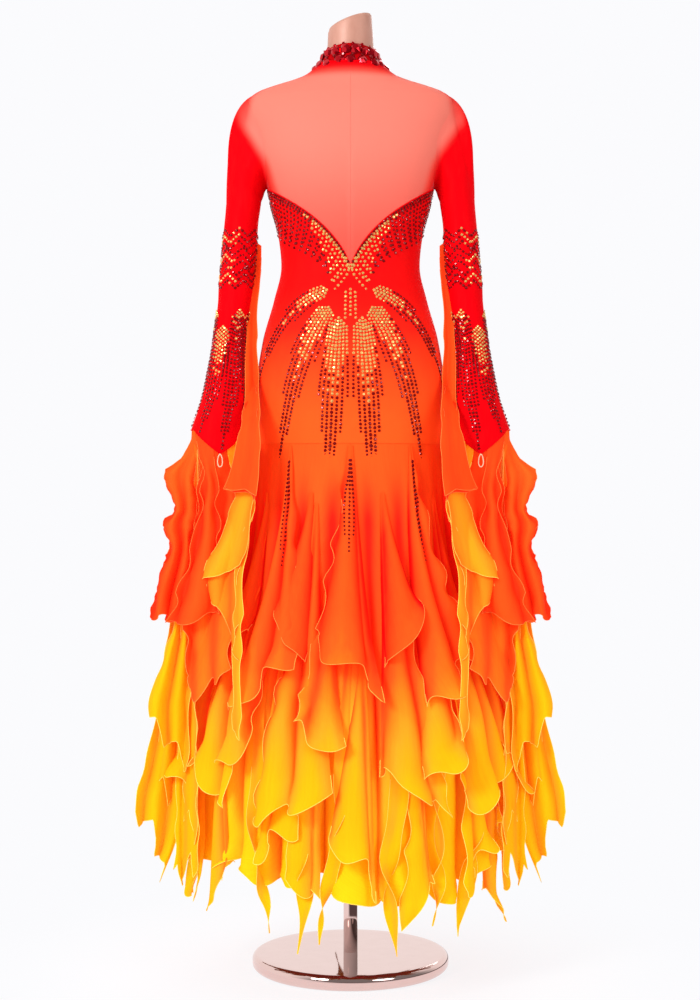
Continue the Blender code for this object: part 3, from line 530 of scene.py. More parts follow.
def edge_frill(rows, sides, bottom, wave_length, phase):
    """Ruffles the sides and the bottom of hanging cloth, whose rolled hem is longer than the cloth."""
    u, v = run_along(rows, 1), run_along(rows)
    along_row, along_column = unit(np.gradient(rows, axis=1)), unit(np.gradient(rows, axis=0))
    normal = unit(np.cross(along_row, -along_column))
    moved = rows.copy()
    fall = smooth(v / np.maximum(v[-1:], 1e-6) / 0.35)
    for distance, away, shift in ((u, -along_row, 0.0), (u[:, -1:] - u, along_row, 2.1)):
        near = np.exp(-distance / 0.014) * fall * sides
        turn = 2 * np.pi * v / wave_length + phase + shift
        turn = turn + 0.9 * np.sin(0.43 * turn + phase)
        moved += normal * (np.sin(turn) * near)[..., None]
        moved += away * ((0.7 - 1.8 * np.abs(np.sin(turn / 2))) * near)[..., None]
    near = np.exp(-(v[-1:] - v) / 0.016) * bottom
    turn = 2 * np.pi * u / wave_length + phase
    turn = turn + 0.9 * np.sin(0.37 * turn + phase)
    moved += normal * (np.sin(turn) * near)[..., None]
    moved += along_column * (np.cos(turn) * near * 0.7)[..., None]
    return moved


def rim_of(values, left=0, right=None):
    """What runs down one side from a row, along the hem and up the other side: points or tones."""
    right = left if right is None else right
    return np.concatenate([values[left:-1, 0], values[-1], values[right:-1, -1][::-1]])


# -------- materials
class Graph:
    """The nodes of a material or a world. What adds nodes gives back an output socket."""

    def __init__(self, name, kind=bpy.data.materials):
        self.owner = kind.new(name)
        self.owner.use_nodes = True
        self.nodes, self.links = self.owner.node_tree.nodes, self.owner.node_tree.links
        self.shader = self.nodes.get("Principled BSDF")

    def feed(self, socket, value):
        if isinstance(value, bpy.types.NodeSocket):
            self.links.new(value, socket)
        else:
            is_colour = socket.type == "RGBA" and len(value) == 3
            socket.default_value = (*value, 1.0) if is_colour else value

    def node(self, kind, inputs=(), out=0, **settings):
        made = self.nodes.new("ShaderNode" + kind)
        for key, value in settings.items():
            setattr(made, key, value)
        for key, value in dict(inputs).items():
            self.feed(made.inputs[key], value)
        return made.outputs[out]

    def set(self, **values):
        for key, value in values.items():
            self.feed(self.shader.inputs[key.replace("_", " ")], value)

    def finish(self, surface, output="Material Output"):
        self.feed(self.nodes[output].inputs["Surface"], surface)
        return self.owner

    def ramp(self, fac, *stops):
        colour = self.node("ValToRGB", {"Fac": fac})
        elements = colour.node.color_ramp.elements
        while len(elements) < len(stops):
            elements.new(0.5)
        for element, (place, shade) in zip(elements, stops):
            element.position = place
            element.color = (*shade, 1.0)
        return colour

    def mottled(self, pattern, dark, light, reach=0.2):
        return self.ramp(pattern, (0.5 - reach, dark), (0.5 + reach, light))

    def maths(self, operation, a, b, clamp=False):
        return self.node("Math", {0: a, 1: b}, operation=operation, use_clamp=clamp)

    def times(self, a, b, clamp=False):
        return self.maths("MULTIPLY", a, b, clamp)

    def span(self, value, low=0.0, high=1.0, start=0.0, end=1.0, kind="LINEAR"):
        """A value that runs from low to high where the given one runs from start to end."""
        ends = {"Value": value, "From Min": start, "From Max": end, "To Min": low, "To Max": high}
        return self.node("MapRange", ends, interpolation_type=kind)

    def noise(self, scale, detail=3.0, vector=None, roughness=0.5):
        inputs = {"Scale": scale, "Detail": detail, "Roughness": roughness}
        return self.node("TexNoise", inputs if vector is None else {**inputs, "Vector": vector})

    def bump(self, height, strength, distance, normal=None):
        inputs = {"Height": height, "Strength": strength, "Distance": distance}
        return self.node("Bump", inputs if normal is None else {**inputs, "Normal": normal})

    def stretched(self, scale):
        """Places on the cloth, stretched for a pattern."""
        return self.node("Mapping", {"Vector": self.cloth(), "Scale": scale})

    def weave(self, thread):
        """The height of a plain weave, with threads this far apart in metres."""
        settings = {"Vector": self.cloth(), "Scale": 1 / thread / 20, "Distortion": 0.6, "Detail": 1.0}
        return self.times(*(self.node("TexWave", settings, "Fac", bands_direction=axis) for axis in "XY"))

    def cloth(self):
        return self.node("UVMap", uv_map="Cloth")

    def tone(self):
        return self.node("Attribute", out="Fac", attribute_name="tone")

    def place(self):
        return self.node("TexCoord", out="Object")

    def gloss(self):
        return self.node("LightPath", out="Is Glossy Ray")

    def tinted(self, colour, value):
        return self.node("HueSaturation", {"Color": colour, "Value": value})

    def mixed(self, share, first, second):
        return self.node("MixRGB", {"Fac": share, "Color1": first, "Color2": second})

    def blend(self, share, first, second):
        return self.node("MixShader", {0: share, 1: first, 2: second})

    def glow(self, colour, strength=1.0, kind="Emission"):
        return self.node(kind, {"Color": colour, "Strength": strength})


def linear(red, green, blue):
    """A colour given as 8-bit sRGB, which isn't nearly black, made linear."""
    return tuple(((c / 255 + 0.055) / 1.055) ** 2.4 for c in (red, green, blue))


DYES = (
    (0.00, (0.75, 0.0004, 0.0038)),
    (0.14, (0.91, 0.015, 0.0070)),
    (0.30, (0.97, 0.074, 0.0110)),
    (0.45, (0.98, 0.128, 0.0140)),
    (0.60, (0.98, 0.270, 0.0150)),
    (0.75, (0.98, 0.440, 0.0200)),
    (0.90, (0.98, 0.550, 0.0060)),
    (1.00, (0.98, 0.590, 0.0060)),
)
CHIFFON_THREAD = 0.0006
CREPE_THREAD = 0.0005
CORAL = (0.90, 0.205, 0.150)
HALF_CORAL = (0.92, 0.075, 0.052)
LIT_CORAL = (0.84, 0.175, 0.130)
# painted highlight: the pale colour a rolled hem is mixed towards
HEM_HIGHLIGHT = (1.0, 0.72, 0.18)
# painted glow of cloth: its colour, and how strong it is
PAINTED_GLOW_TINT = (1.0, 0.03, 0.0)
PAINTED_GLOW_STRENGTH = 0.10
# painted reflection: the dark colour that glossy rays see on cloth
PAINTED_CLOTH_REFLECTION = (0.10, 0.018, 0.014)
BLACK = (0.0, 0.0, 0.0)
# painted reflection: the dull glow that glossy rays see on the chrome
PAINTED_CHROME_REFLECTION = (1.0, 0.80, 0.76)
BACKDROP = (0.965, 0.965, 0.985)
FLOOR_FADE = (0.25, 0.75)
FLOOR_GLOW = 0.82
# painted reflection on the floor: the side it lies to, and its colour
PAINTED_REFLECTION_SIDE = (-0.62, 0.35, 0.0)
FLOOR_PAINTED_REFLECTION = (0.05, 0.02, 0.02)
ROOM_AWAY = (-0.42, 0.90, 0.0)


def chiffon_material(name, translucent=0.3, darker=0.0, thread=0.0, painted_glow=PAINTED_GLOW_STRENGTH):
    """Dyed silk chiffon, finely crinkled, which lets some light through. It has a painted glow."""
    graph = Graph(name)
    tone = graph.maths("ADD", graph.tone(), graph.span(graph.noise(9.0, 2.0), -0.035, 0.035))
    streaks = graph.noise(1.0, 4.0, graph.stretched((160, 9, 1)), 0.6)
    shade = graph.tinted(graph.ramp(tone, *DYES), graph.span(streaks, 0.90, 1.08))
    # painted glow: the cloth gives off a faint red light of its own, in place of red light passed from layer
    # to layer, and so keeps the shadows between layers warm
    glow_colour, strength = PAINTED_GLOW_TINT, painted_glow
    # painted highlight: a rolled hem is mixed towards a pale colour and glows in its own colour, more where
    # it is yellow
    if thread:
        shade = graph.mixed(graph.times(tone, thread, clamp=True), shade, HEM_HIGHLIGHT)
        glow_colour, strength = shade, graph.times(tone, painted_glow, clamp=True)
    if darker:
        shade = graph.mixed(darker, shade, BLACK)
    threads = graph.bump(graph.weave(CHIFFON_THREAD), 0.25, 0.0002, graph.bump(streaks, 0.35, 0.0012))
    rough = graph.span(graph.noise(60.0, 2.0), 0.55, 0.72)
    graph.set(Base_Color=shade, Roughness=rough, Normal=threads, Specular_IOR_Level=0.02)
    graph.set(Emission_Color=glow_colour, Emission_Strength=strength)
    behind = graph.node("BsdfTranslucent", {"Color": shade, "Normal": threads})
    cloth = graph.blend(translucent, graph.shader.outputs[0], behind)
    # painted reflection: glossy rays see the cloth as a flat dark glow, so polished metal mirrors it dark
    return graph.finish(graph.blend(graph.times(graph.gloss(), 0.92), cloth, graph.glow(PAINTED_CLOTH_REFLECTION)))


def crepe_material():
    """Opaque stretch crepe: red, or coral where it carries the sheer mesh's colour on."""
    graph = Graph("stretch_crepe")
    tone = graph.maths("ADD", graph.tone(), graph.span(graph.noise(12.0, 2.0), -0.015, 0.015))
    colour = graph.mixed(graph.times(tone, -1.0, clamp=True), graph.ramp(tone, *DYES), LIT_CORAL)
    grain = graph.noise(900.0, 2.0)
    creases = graph.bump(graph.noise(1.0, 3.0, graph.stretched((9, 26, 1))), 0.25, 0.004)
    rough, shade = graph.span(grain, 0.48, 0.62), graph.tinted(colour, graph.span(grain, 0.93, 1.04))
    surface = graph.bump(graph.weave(CREPE_THREAD), 0.2, 0.0002, graph.bump(grain, 0.3, 0.0003, creases))
    graph.set(Base_Color=shade, Roughness=rough, Normal=surface, Specular_IOR_Level=0.012)
    # painted glow: where the crepe is orange it gives off its own colour, which lifts its shadows
    orange = graph.times(tone, 3.0, clamp=True)
    graph.set(Emission_Color=colour, Emission_Strength=graph.times(orange, PAINTED_GLOW_STRENGTH))
    return graph.owner


def sheer_material():
    """Stretch mesh: coral where skin-coloured form is right behind it, red where it stands free."""
    graph = Graph("sheer_mesh")
    reddish = (0.0, DYES[0][1])
    colour = graph.ramp(graph.times(graph.tone(), -1.0), reddish, (0.5, HALF_CORAL), (1.0, CORAL))
    net = {"Vector": graph.cloth(), "Scale": 700.0, "Randomness": 0.25}
    cells = graph.node("TexVoronoi", net, "Distance", feature="DISTANCE_TO_EDGE")
    thread = graph.span(cells, 1.0, 0.72, end=0.3)
    graph.set(Base_Color=colour, Roughness=graph.span(graph.noise(80.0, 2.0), 0.5, 0.65), Alpha=thread)
    graph.set(Normal=graph.bump(thread, 0.3, 0.0002), Specular_IOR_Level=0.03)
    return graph.owner


def stone_material(name, colour, metallic, roughness):
    graph = Graph(name)
    dark, light = (tuple(min(1.0, share * c) for c in colour) for share in (0.62, 1.25))
    rough = graph.span(graph.noise(500.0, 1.0), roughness, roughness + 0.12)
    graph.set(Base_Color=graph.mottled(graph.noise(260.0, 1.0), dark, light), Roughness=rough)
    graph.set(Metallic=metallic, Coat_Weight=0.15, Coat_Roughness=0.03)
    return graph.owner


def chrome_material():
    """Polished rose gold. A second reflection in it is a painted reflection: a dull glow, duller on one side.
    """
    graph = Graph("rose_gold_chrome")
    smudge = graph.noise(14.0, 4.0)
    colour = graph.mottled(smudge, (0.80, 0.575, 0.535), (0.82, 0.595, 0.555), 0.15)
    graph.set(Base_Color=colour, Metallic=1.0, Roughness=graph.span(smudge, 0.03, 0.07))
    graph.set(Normal=graph.bump(graph.noise(12.0, 2.0), 0.004, 0.0002))
    # painted reflection: glossy rays see a dull glow, dimmer towards +X
    across = graph.node("SeparateXYZ", {"Vector": graph.place()})
    painted_reflection = graph.glow(PAINTED_CHROME_REFLECTION, graph.span(across, 0.62, 0.05, -0.02, 0.03))
    return graph.finish(graph.blend(graph.times(graph.gloss(), 0.9), graph.shader.outputs[0], painted_reflection))


def elastic_material():
    graph = Graph("peach_elastic")
    twist = graph.noise(1.0, 1.0, graph.stretched((900, 900, 1)))
    colour = graph.mottled(twist, linear(250, 176, 140), linear(255, 205, 172))
    graph.set(Base_Color=colour, Roughness=0.6, Normal=graph.bump(twist, 0.3, 0.0002))
    return graph.owner


def skin_material():
    graph = Graph("pearl_blush")
    colour = graph.mottled(graph.noise(18.0, 4.0), linear(184, 128, 109), linear(194, 140, 121))
    graph.set(Base_Color=colour, Roughness=graph.span(graph.noise(140.0, 3.0), 0.45, 0.55), Metallic=0.10)
    graph.set(Normal=graph.bump(graph.noise(420.0, 2.0), 0.06, 0.0002), Coat_Weight=0.2, Coat_Roughness=0.45)
    return graph.owner


def floor_material():
    """White studio floor: it takes faint shadows near the stand and runs into the backdrop further off."""
    graph = Graph("studio_floor")
    colour = graph.mottled(graph.noise(3.0, 2.0), (0.93, 0.93, 0.94), (0.95, 0.95, 0.96))
    graph.set(Base_Color=colour, Roughness=0.8, Specular_IOR_Level=0.0)
    place = graph.place()
    away = graph.node("VectorMath", {0: place}, "Value", operation="LENGTH")
    share = graph.span(away, FLOOR_GLOW, 1.0, *FLOOR_FADE, "SMOOTHSTEP")
    lit = graph.blend(share, graph.shader.outputs[0], graph.glow(BACKDROP))
    # painted reflection: glossy rays see the floor on the right, beyond the stand, as a dark glow
    reflection_dark_side = graph.node("VectorMath", {0: place, 1: PAINTED_REFLECTION_SIDE}, "Value", operation="DOT_PRODUCT")
    reflection_dark_side = graph.maths("SUBTRACT", 1.0, graph.span(reflection_dark_side, 0.06, 1.0, -0.10, 0.05))
    beyond = graph.times(graph.gloss(), graph.span(away, start=0.24, end=0.32))
    return graph.finish(graph.blend(graph.times(beyond, reflection_dark_side), lit, graph.glow(FLOOR_PAINTED_REFLECTION)))


CHIFFON = chiffon_material("silk_chiffon")
LINED = chiffon_material("lined_chiffon", translucent=0.06)
# the rolled hem's thread share and glow are a painted highlight
HEM_EDGE = chiffon_material("rolled_hem", translucent=0.10, thread=0.55, painted_glow=0.30)
CREPE = crepe_material()
ELASTIC = elastic_material()
SHEER = sheer_material()
GOLD = stone_material("gold_crystal", (1.0, 0.50, 0.15), 0.45, 0.16)
GARNET = stone_material("garnet_crystal", (0.24, 0.002, 0.004), 0.35, 0.12)
RUBY = stone_material("ruby_crystal", (0.58, 0.001, 0.010), 0.8, 0.03)
DARK_BAND = chiffon_material("collar_band", translucent=0.0, darker=0.45, painted_glow=0.0)
CHROME = chrome_material()
SKIN = skin_material()
# materials of a cloth and of its edges, slot
CREPE_CLOTH = [CREPE, CREPE], "crepe_red"
CHIFFON_CLOTH = [CHIFFON, HEM_EDGE], "chiffon_orange"


# -------- stand and form
AXIS_HOLE = 0.0006


def lathe(profile, columns):
    """A turned solid round the Z axis. Its profile starts and ends close to the axis."""
    turns = np.arange(columns) * 2 * np.pi / columns
    reach, z = np.array(profile, float).T[..., None]
    piece = Piece()
    piece.grid(points(reach * np.sin(turns), -reach * np.cos(turns), z), 0.0, closed=True)
    return piece


def make_stand():
    edge, top, radius = BASE_EDGE, BASE_THICKNESS, BASE_RADIUS
    arc = np.radians(np.arange(9) * 90 / 8)
    profile = [(AXIS_HOLE, top)] + [(radius * s, top) for s in (0.1, 0.3, 0.6, 0.85)]
    profile += [(radius - edge + edge * math.sin(a), top - edge + edge * math.cos(a)) for a in arc]
    profile += [(radius - edge + edge * math.cos(a), edge - edge * math.sin(a)) for a in arc]
    profile += [(radius * 0.6, 0.0), (radius * 0.2, 0.0), (AXIS_HOLE, 0.0)]
    lathe(profile, 144).make("base_plate", [CHROME], "rose_gold", "stand_base")

    foot, head = BASE_THICKNESS + SEAM, FORM_BOTTOM - SEAM
    profile = [(AXIS_HOLE, head), (POLE_RADIUS * 0.7, head)]
    profile += [(POLE_RADIUS, lerp(head, foot, i / 12)) for i in range(13)]
    profile += [(POLE_RADIUS * 0.7, foot), (AXIS_HOLE, foot)]
    lathe(profile, 48).make("pole_tube", [CHROME], "rose_gold", "stand_pole")


RING = np.arange(120) * 3.0
# share of the rise to the cap, share of the neck's reach
NECK_CAP = (
    (0.40, 1.0), (0.70, 0.995), (0.84, 0.975), (0.93, 0.93), (0.98, 0.85), (1.0, 0.72), (1.0, 0.4),
    (1.0, 0.02),
)


def make_form():
    """The form from its flat underside to the slanted cap of its neck."""
    shoulder = 1.50
    heights = np.concatenate([np.linspace(FORM_BOTTOM, shoulder, 60), np.linspace(shoulder, NECK_TOP, 56)])
    rows = [form_point(RING, FORM_BOTTOM) * np.array([s, s, 1.0]) for s in (0.02, 0.5, 0.97)]
    rows += [form_point(RING, z) for z in np.unique(heights)]
    half_width = FORM_AT[0](NECK_TOP_HIGH)
    for rise, reach in NECK_CAP:
        row = form_point(RING, NECK_TOP_HIGH) * np.array([reach, reach, 1.0])
        cap = lerp(NECK_TOP_LOW, NECK_TOP_HIGH, 0.5 + 0.5 * row[:, 0] / half_width)
        row[:, 2] = lerp(NECK_TOP, cap, rise)
        rows.append(row)
    form = Piece()
    form.grid(np.array(rows)[::-1], 0.0, closed=True)
    form.make("dress_form", [SKIN], "form_skin", "form_torso")


# -------- stones
def stone_shape(sides, table, height):
    """A cut stone: a girdle, a crown of facets and a flat table."""
    turns = np.arange(sides) * 2 * np.pi / sides
    girdle = points(np.cos(turns), np.sin(turns), 0.0)
    turned = turns + np.pi / sides
    crown = points(table * np.cos(turned), table * np.sin(turned), height)
    shape = np.concatenate([girdle, crown, [(0.0, 0.0, height * 1.02)]])
    faces = []
    for i in range(sides):
        j = (i + 1) % sides
        faces += [(i, j, sides + i), (j, sides + j, sides + i), (sides + i, sides + j, 2 * sides)]
    return shape, np.array(faces)


SMALL_STONE = stone_shape(6, 0.58, 0.55)
LARGE_STONE = stone_shape(8, 0.50, 0.50)
# rates that leave each stone's tilt looking random, though it follows from its place
TILT_RATES = np.array([[1271.3, 911.7, 1733.1], [311.7, 577.3, 811.9], [919.1, 1409.3, 503.3]])


def add_stones(piece, where, normals, radii, slot, shape=SMALL_STONE, tilt=0.16):
    """Stones stuck on a surface, each turned a little further than the last and tilted a little."""
    normals = unit(unit(normals) + tilt * np.sin(where @ TILT_RATES))
    side = unit(np.cross(normals, (0.03, 0.1, 1.0)))
    other = np.cross(normals, side)
    local, faces = shape
    spin = np.arange(len(where))[:, None] * 0.7
    x = local[:, 0] * np.cos(spin) - local[:, 1] * np.sin(spin)
    y = local[:, 0] * np.sin(spin) + local[:, 1] * np.cos(spin)
    body = side[:, None] * x[..., None] + other[:, None] * y[..., None] + normals[:, None] * local[:, 2:3]
    body = where[:, None] + np.broadcast_to(radii, len(where))[:, None, None] * body
    index = (np.arange(len(where)) * len(local))[:, None, None] + faces
    piece.add(body, index.reshape(-1, 3), np.zeros((body.size // 3, 2)), 0.0, slot, flat=True)


def spaced(surface, path, gap):
    """Points evenly spaced along a path of (angle, z) on a surface, with their shares."""
    run = run_along(surface(path[:, 0], path[:, 1]))
    at = np.linspace(0, run[-1], max(int(run[-1] / gap), 2))
    return np.interp(at, run, path[:, 0]), np.interp(at, run, path[:, 1]), at / run[-1]


def off_line(surface, start, end, bow, t, offset):
    """Points (angle, z) beside a bowed line on a surface: offset is in metres, to its left."""
    angle = lerp(start[0], end[0], t)
    z = lerp(start[1], end[1], t) + bow * np.sin(np.pi * t)
    degree = np.linalg.norm(surface(angle + 0.5, z) - surface(angle - 0.5, z), axis=-1)
    rise = end[1] - start[1] + bow * np.pi * np.cos(np.pi * t)
    along = unit(points((end[0] - start[0]) * degree, rise, 0.0))
    return np.stack([angle - along[:, 1] * offset / degree, z + along[:, 0] * offset], -1)


# share of the height, number of stones, size
COLLAR_ROWS = ((0.26, 17, 0.0104), (0.74, 16, 0.0104))
COLLAR_FILLERS = ((0.50, 19, 0.0036), (0.98, 17, 0.0034))


def make_collar():
    bottom, top = COLLAR_BOTTOM - COLLAR_SETTLES, COLLAR_TOP - COLLAR_SETTLES

    def ring(angle, z, out):
        """A point off the neck. The collar sinks a little on the shoulders."""
        return off_form(angle, z - COLLAR_SETTLES * np.sin(np.radians(angle)) ** 2, out)

    wall = COLLAR_WALL
    edges = ((0.0, bottom), (0.0020, bottom), (wall, bottom + 0.001), (wall, lerp(bottom, top, 0.3)))
    edges += ((wall, lerp(bottom, top, 0.6)), (wall, top - 0.001), (0.0020, top), (0.0, top))
    collar = Piece()
    collar.grid(np.array([ring(RING, z, SEAM + reach) for reach, z in edges])[::-1], 0.0, closed=True)
    collar.tube(ring(RING, bottom + 0.0005, wall), 0.0019, 0.0, 3, closed=True)
    for row, (share, count, size) in enumerate(COLLAR_ROWS):
        each = np.arange(count)
        turn = (each + 0.5 * row) * 360 / count
        lift = lerp(bottom, top, share) + 0.0016 * np.sin(each * 2.4 + row)
        tilt = points(0.25 * np.sin(each * 2.9), 0.0, 0.30 * np.sin(each * 1.9 + row))
        normal = unit(normal_of(form_point, turn, lift) + tilt)
        big = size * (1 + 0.10 * np.sin(each * 3.3 + row))
        add_stones(collar, ring(turn, lift, wall + 0.0006 * row), normal, big, 1, LARGE_STONE, 0.28)
    for slot, (share, count, size) in zip((2, 1), COLLAR_FILLERS):
        turn = (np.arange(count) + 0.25) * 360 / count
        lift = lerp(bottom, top, share)
        add_stones(collar, ring(turn, lift, 0.0044), normal_of(form_point, turn, lift), size, slot, tilt=0.3)
    collar.make("jewelled_collar", [DARK_BAND, RUBY, GARNET, CREPE], "crystal_red", "collar")


# -------- fitted part of the dress
BINDING = 0.0016
NECKLINE_STEPS = 44


def neckline_angles():
    return 90 * (np.arange(NECKLINE_STEPS + 1) / NECKLINE_STEPS) ** 1.5


def yoke_edges(low):
    """Heights and reach of the yoke's rows, from the neck down to the neckline's point."""
    shoulder = np.linspace(COLLAR_BOTTOM - 2 * SEAM, SHOULDER_TIP, 14)[:-1]
    armhole = lerp(SHOULDER_TIP, ARMPIT, 1 - bump(np.pi * np.arange(30) / 30))
    angles = neckline_angles()[:0:-1]
    angles = np.append(angles, angles[-1] * 0.4)
    z = np.concatenate([shoulder, armhole, neckline_height(angles, low)])
    reach = np.concatenate([np.full(len(shoulder), 90.0), armhole_angle(armhole), angles])
    return z[:, None], reach[:, None]


def coral(where):
    """The tone of sheer mesh: coral where it lies on the skin-coloured form, and red elsewhere."""
    x, y, z = np.moveaxis(np.abs(where), -1, 0)
    inside = smooth((CORAL_EDGE(z) - x) / 0.024 + 0.5)
    near_neck = smooth((COLLAR_BOTTOM - 0.004 - z) / 0.026)
    low = 1 - 0.45 * smooth((1.47 - z) / 0.24)
    ridge = 1 - 0.85 * smooth((0.038 - y) / 0.032) * smooth((z - 1.47) / 0.05)
    return -inside * near_neck * low * ridge


def make_yokes():
    look = [SHEER, CREPE], "sheer_red", "stretched", ["dress_form"]
    share = 1 - (1 - np.arange(41) / 40) ** 1.35
    z, reach = yoke_edges(BACK_POINT)
    angle = lerp(0.03, reach, share)
    back = dress_point(angle, z + 0 * angle)
    tone = coral(back) * (1 + 0.06 * smooth((2.4 - angle) / 0.6))
    for middle, (side, rows, shade) in zip((0, -1), mirrored(back, tone)):
        edges = (rows[:, middle], SEAM, 0.9 * shade[:, middle]), (rows[0], BINDING, 0.0)
        sheet("sheer_back_" + side, ["yoke_back_" + side], rows, shade, edges, *look)

    z, reach = yoke_edges(FRONT_POINT)
    angle = reach * np.concatenate([-share[:0:-1], share])
    rows = dress_point(180 + angle, z + 0 * angle)
    sheet("sheer_front", ["yoke_front"], rows, coral(rows), [(rows[0], BINDING, 0.0)], *look)


def make_body():
    half = neckline_angles()
    around = np.concatenate([-half[:0:-1], half])
    fall = (np.arange(91) / 90)[:, None] ** 1.15
    for side, centre, low in (("back", 0, BACK_POINT), ("front", 180, FRONT_POINT)):
        top = neckline_height(around, low)
        height = lerp(top, SKIRT_SEAM, fall)
        edges = [(dress_point(centre + around, top, 0.0004), 0.0013, 0.0)]
        rows = dress_point(centre + around + 0 * fall, height)
        names = "fitted_" + side, ["body_" + side]
        sheet(*names, rows, DYE(height), edges, *CREPE_CLOTH, "stretched", ["dress_form"])


def sleeve_rows(columns=64):
    """The right sleeve: its cap curves from the armhole into the arm, and rings follow to the cuff."""
    heights = lerp(ARMPIT, SHOULDER_TIP, 1 - bump(np.linspace(0, np.pi, columns // 2 + 1)))
    z = np.concatenate([heights[::-1], heights[1:-1]])
    angle = np.concatenate([armhole_angle(heights[::-1]), 180 - armhole_angle(heights[1:-1])])
    start = dress_point(angle, z)
    tangent = unit(np.roll(start, -1, 0) - np.roll(start, 1, 0))
    inward = np.cross(normal_of(form_point, angle, z), tangent)
    centre = dress_point(np.array(90.0), np.array(lerp(ARMPIT, SHOULDER_TIP, 0.5)))
    inward *= np.sign(np.sum(inward * (centre - start), axis=1))[:, None]
    above = 2 * (z - ARMPIT) / (SHOULDER_TIP - ARMPIT) - 1
    over = start - dress_point(lerp(90, angle, 1.12), z + 0.012 * above)
    inward = unit(lerp(unit(inward), unit(over), smooth(above[:, None])))
    arm_angle = 90 - 360 * np.arange(columns) / columns
    top = SLEEVE[-1][0]
    end = sleeve_point(arm_angle, top)
    pull = SLEEVE_PULL * np.linalg.norm(end - start, axis=1, keepdims=True)
    leave, arrive = inward * pull, np.array([0.03, 0.0, -1.0]) * pull
    rows = []
    for t in np.linspace(0, 1, 25)[:-1]:
        point = start * (1 + 2 * t) * (1 - t) ** 2 + end * (3 - 2 * t) * t * t
        rows.append(point + leave * t * (1 - t) ** 2 - arrive * t * t * (1 - t))
    rows += [sleeve_point(arm_angle, z) for z in np.linspace(top, WRIST, 56)]
    cuff = cuff_height(arm_angle)
    rows += [sleeve_point(arm_angle, lerp(WRIST, cuff, share)) for share in np.linspace(0, 1, 9)[1:]]
    return np.array(rows)


def make_sleeves():
    rows = sleeve_rows()
    # soft creases: along the bent elbow and where the cap falls into the arm
    along = np.linspace(0, 1, len(rows))[:, None]
    around = np.linspace(0, 2 * np.pi, rows.shape[1], endpoint=False)
    outward = unit(np.cross(np.gradient(rows, axis=0), np.roll(rows, -1, 1) - np.roll(rows, 1, 1)))
    crease = np.sin(around * 2 + along * 46) * np.exp(-(((along - 0.47) / 0.10) ** 2))
    crease += 0.8 * np.sin(around * 3 - along * 30) * np.exp(-(((along - 0.22) / 0.08) ** 2))
    rows = rows + outward * (0.0011 * crease)[..., None]
    tone = coral(rows)
    for side, grid in (("right", rows[:, ::-1]), ("left", rows * LEFT)):
        sheet(
            "long_sleeve_" + side, ["sleeve_" + side], grid, tone, [(grid[-1], 0.0011, 0.0)],
            *CREPE_CLOTH, "hung", ["sheer_back_" + side], closed=True,
        )
    x, y, z = sleeve_point(CUFF_POINT_ANGLE, cuff_height(CUFF_POINT_ANGLE))
    turn = np.arange(48) * 2 * np.pi / 48
    swell = LOOP_DROP * 0.22 * np.sin(turn) * (0.5 + 0.5 * np.sin(turn / 2))
    path = points(x + swell, y - 0.004, z - 2 * SEAM - LOOP_DROP * (1 - bump(turn)))
    for side, sign in (("right", 1), ("left", LEFT)):
        piece = Piece()
        piece.tube(path * sign, LOOP_RADIUS, 0.3, 0, closed=True, sides=8)
        piece.make("elastic_loop_" + side, [ELASTIC], "elastic", "finger_loop_" + side)


# -------- skirt
PHASE_STEP = 2.399
FRILL_WAVE = 0.085
SIDE_FRILL = 0.0065
HEM_FRILL = 0.0035
# painted shade: how much redder the tone is made in the hollows between folds, and along a side that is sewn
# in
HOLLOW_PAINTED_SHADE = 0.24
SEWN_PAINTED_SHADE = 0.26


def low_share(z):
    """0 in the upper skirt and 1 in the lower one."""
    return smooth((0.62 - z) / 0.2)


def make_skirt():
    for side, start in (("right", 0), ("left", 180)):
        angle = start - 9 + np.linspace(0, 180, 261)[None, :]
        fall = np.linspace(0, 1, 71)[:, None]
        round_dress = np.radians(angle)
        turn = FLUTES * round_dress
        variety = 1 + 0.22 * np.sin(7 * round_dress + 1.0) + 0.12 * np.sin(13 * round_dress)
        bells = 0.010 * np.cos(turn) + 0.010 * np.sin(0.5 * turn + 0.7) + 0.005 * np.sin(31 * round_dress)
        z = lerp(SKIRT_SEAM, skirt_hem(angle) - bells, fall)
        lean = 4.0 * fall**0.9 * np.sin(turn) * variety
        flare = 0.012 * smooth((fall - 0.93) / 0.07) * bump(turn)
        rows = skirt_reach(angle + lean, z, flute_depth(z) * variety * np.cos(turn) - 2 * SEAM + flare)
        rows = edge_frill(rows, 0.0, 0.004, 0.075, start)
        # painted shade: the tone is made redder in the hollows between the flutes, more so and unevenly round
        # the lower skirt
        shaded_hollow = (1 - bump(turn)) * smooth((0.90 - z) / 0.12)
        low = low_share(z)
        tone = DYE(z) - shaded_hollow * (HOLLOW_PAINTED_SHADE + low * (0.08 + 0.14 * np.sin(7 * round_dress)))
        sheet(
            "underskirt_" + side, ["skirt_" + side], rows, tone, [(rows[-1], HEM_RADIUS, tone[-1])],
            [LINED, HEM_EDGE], "chiffon_orange", "hung", ["fitted_back"],
        )


OVER_SKIRT = "hung", ["underskirt_right", "underskirt_left"]


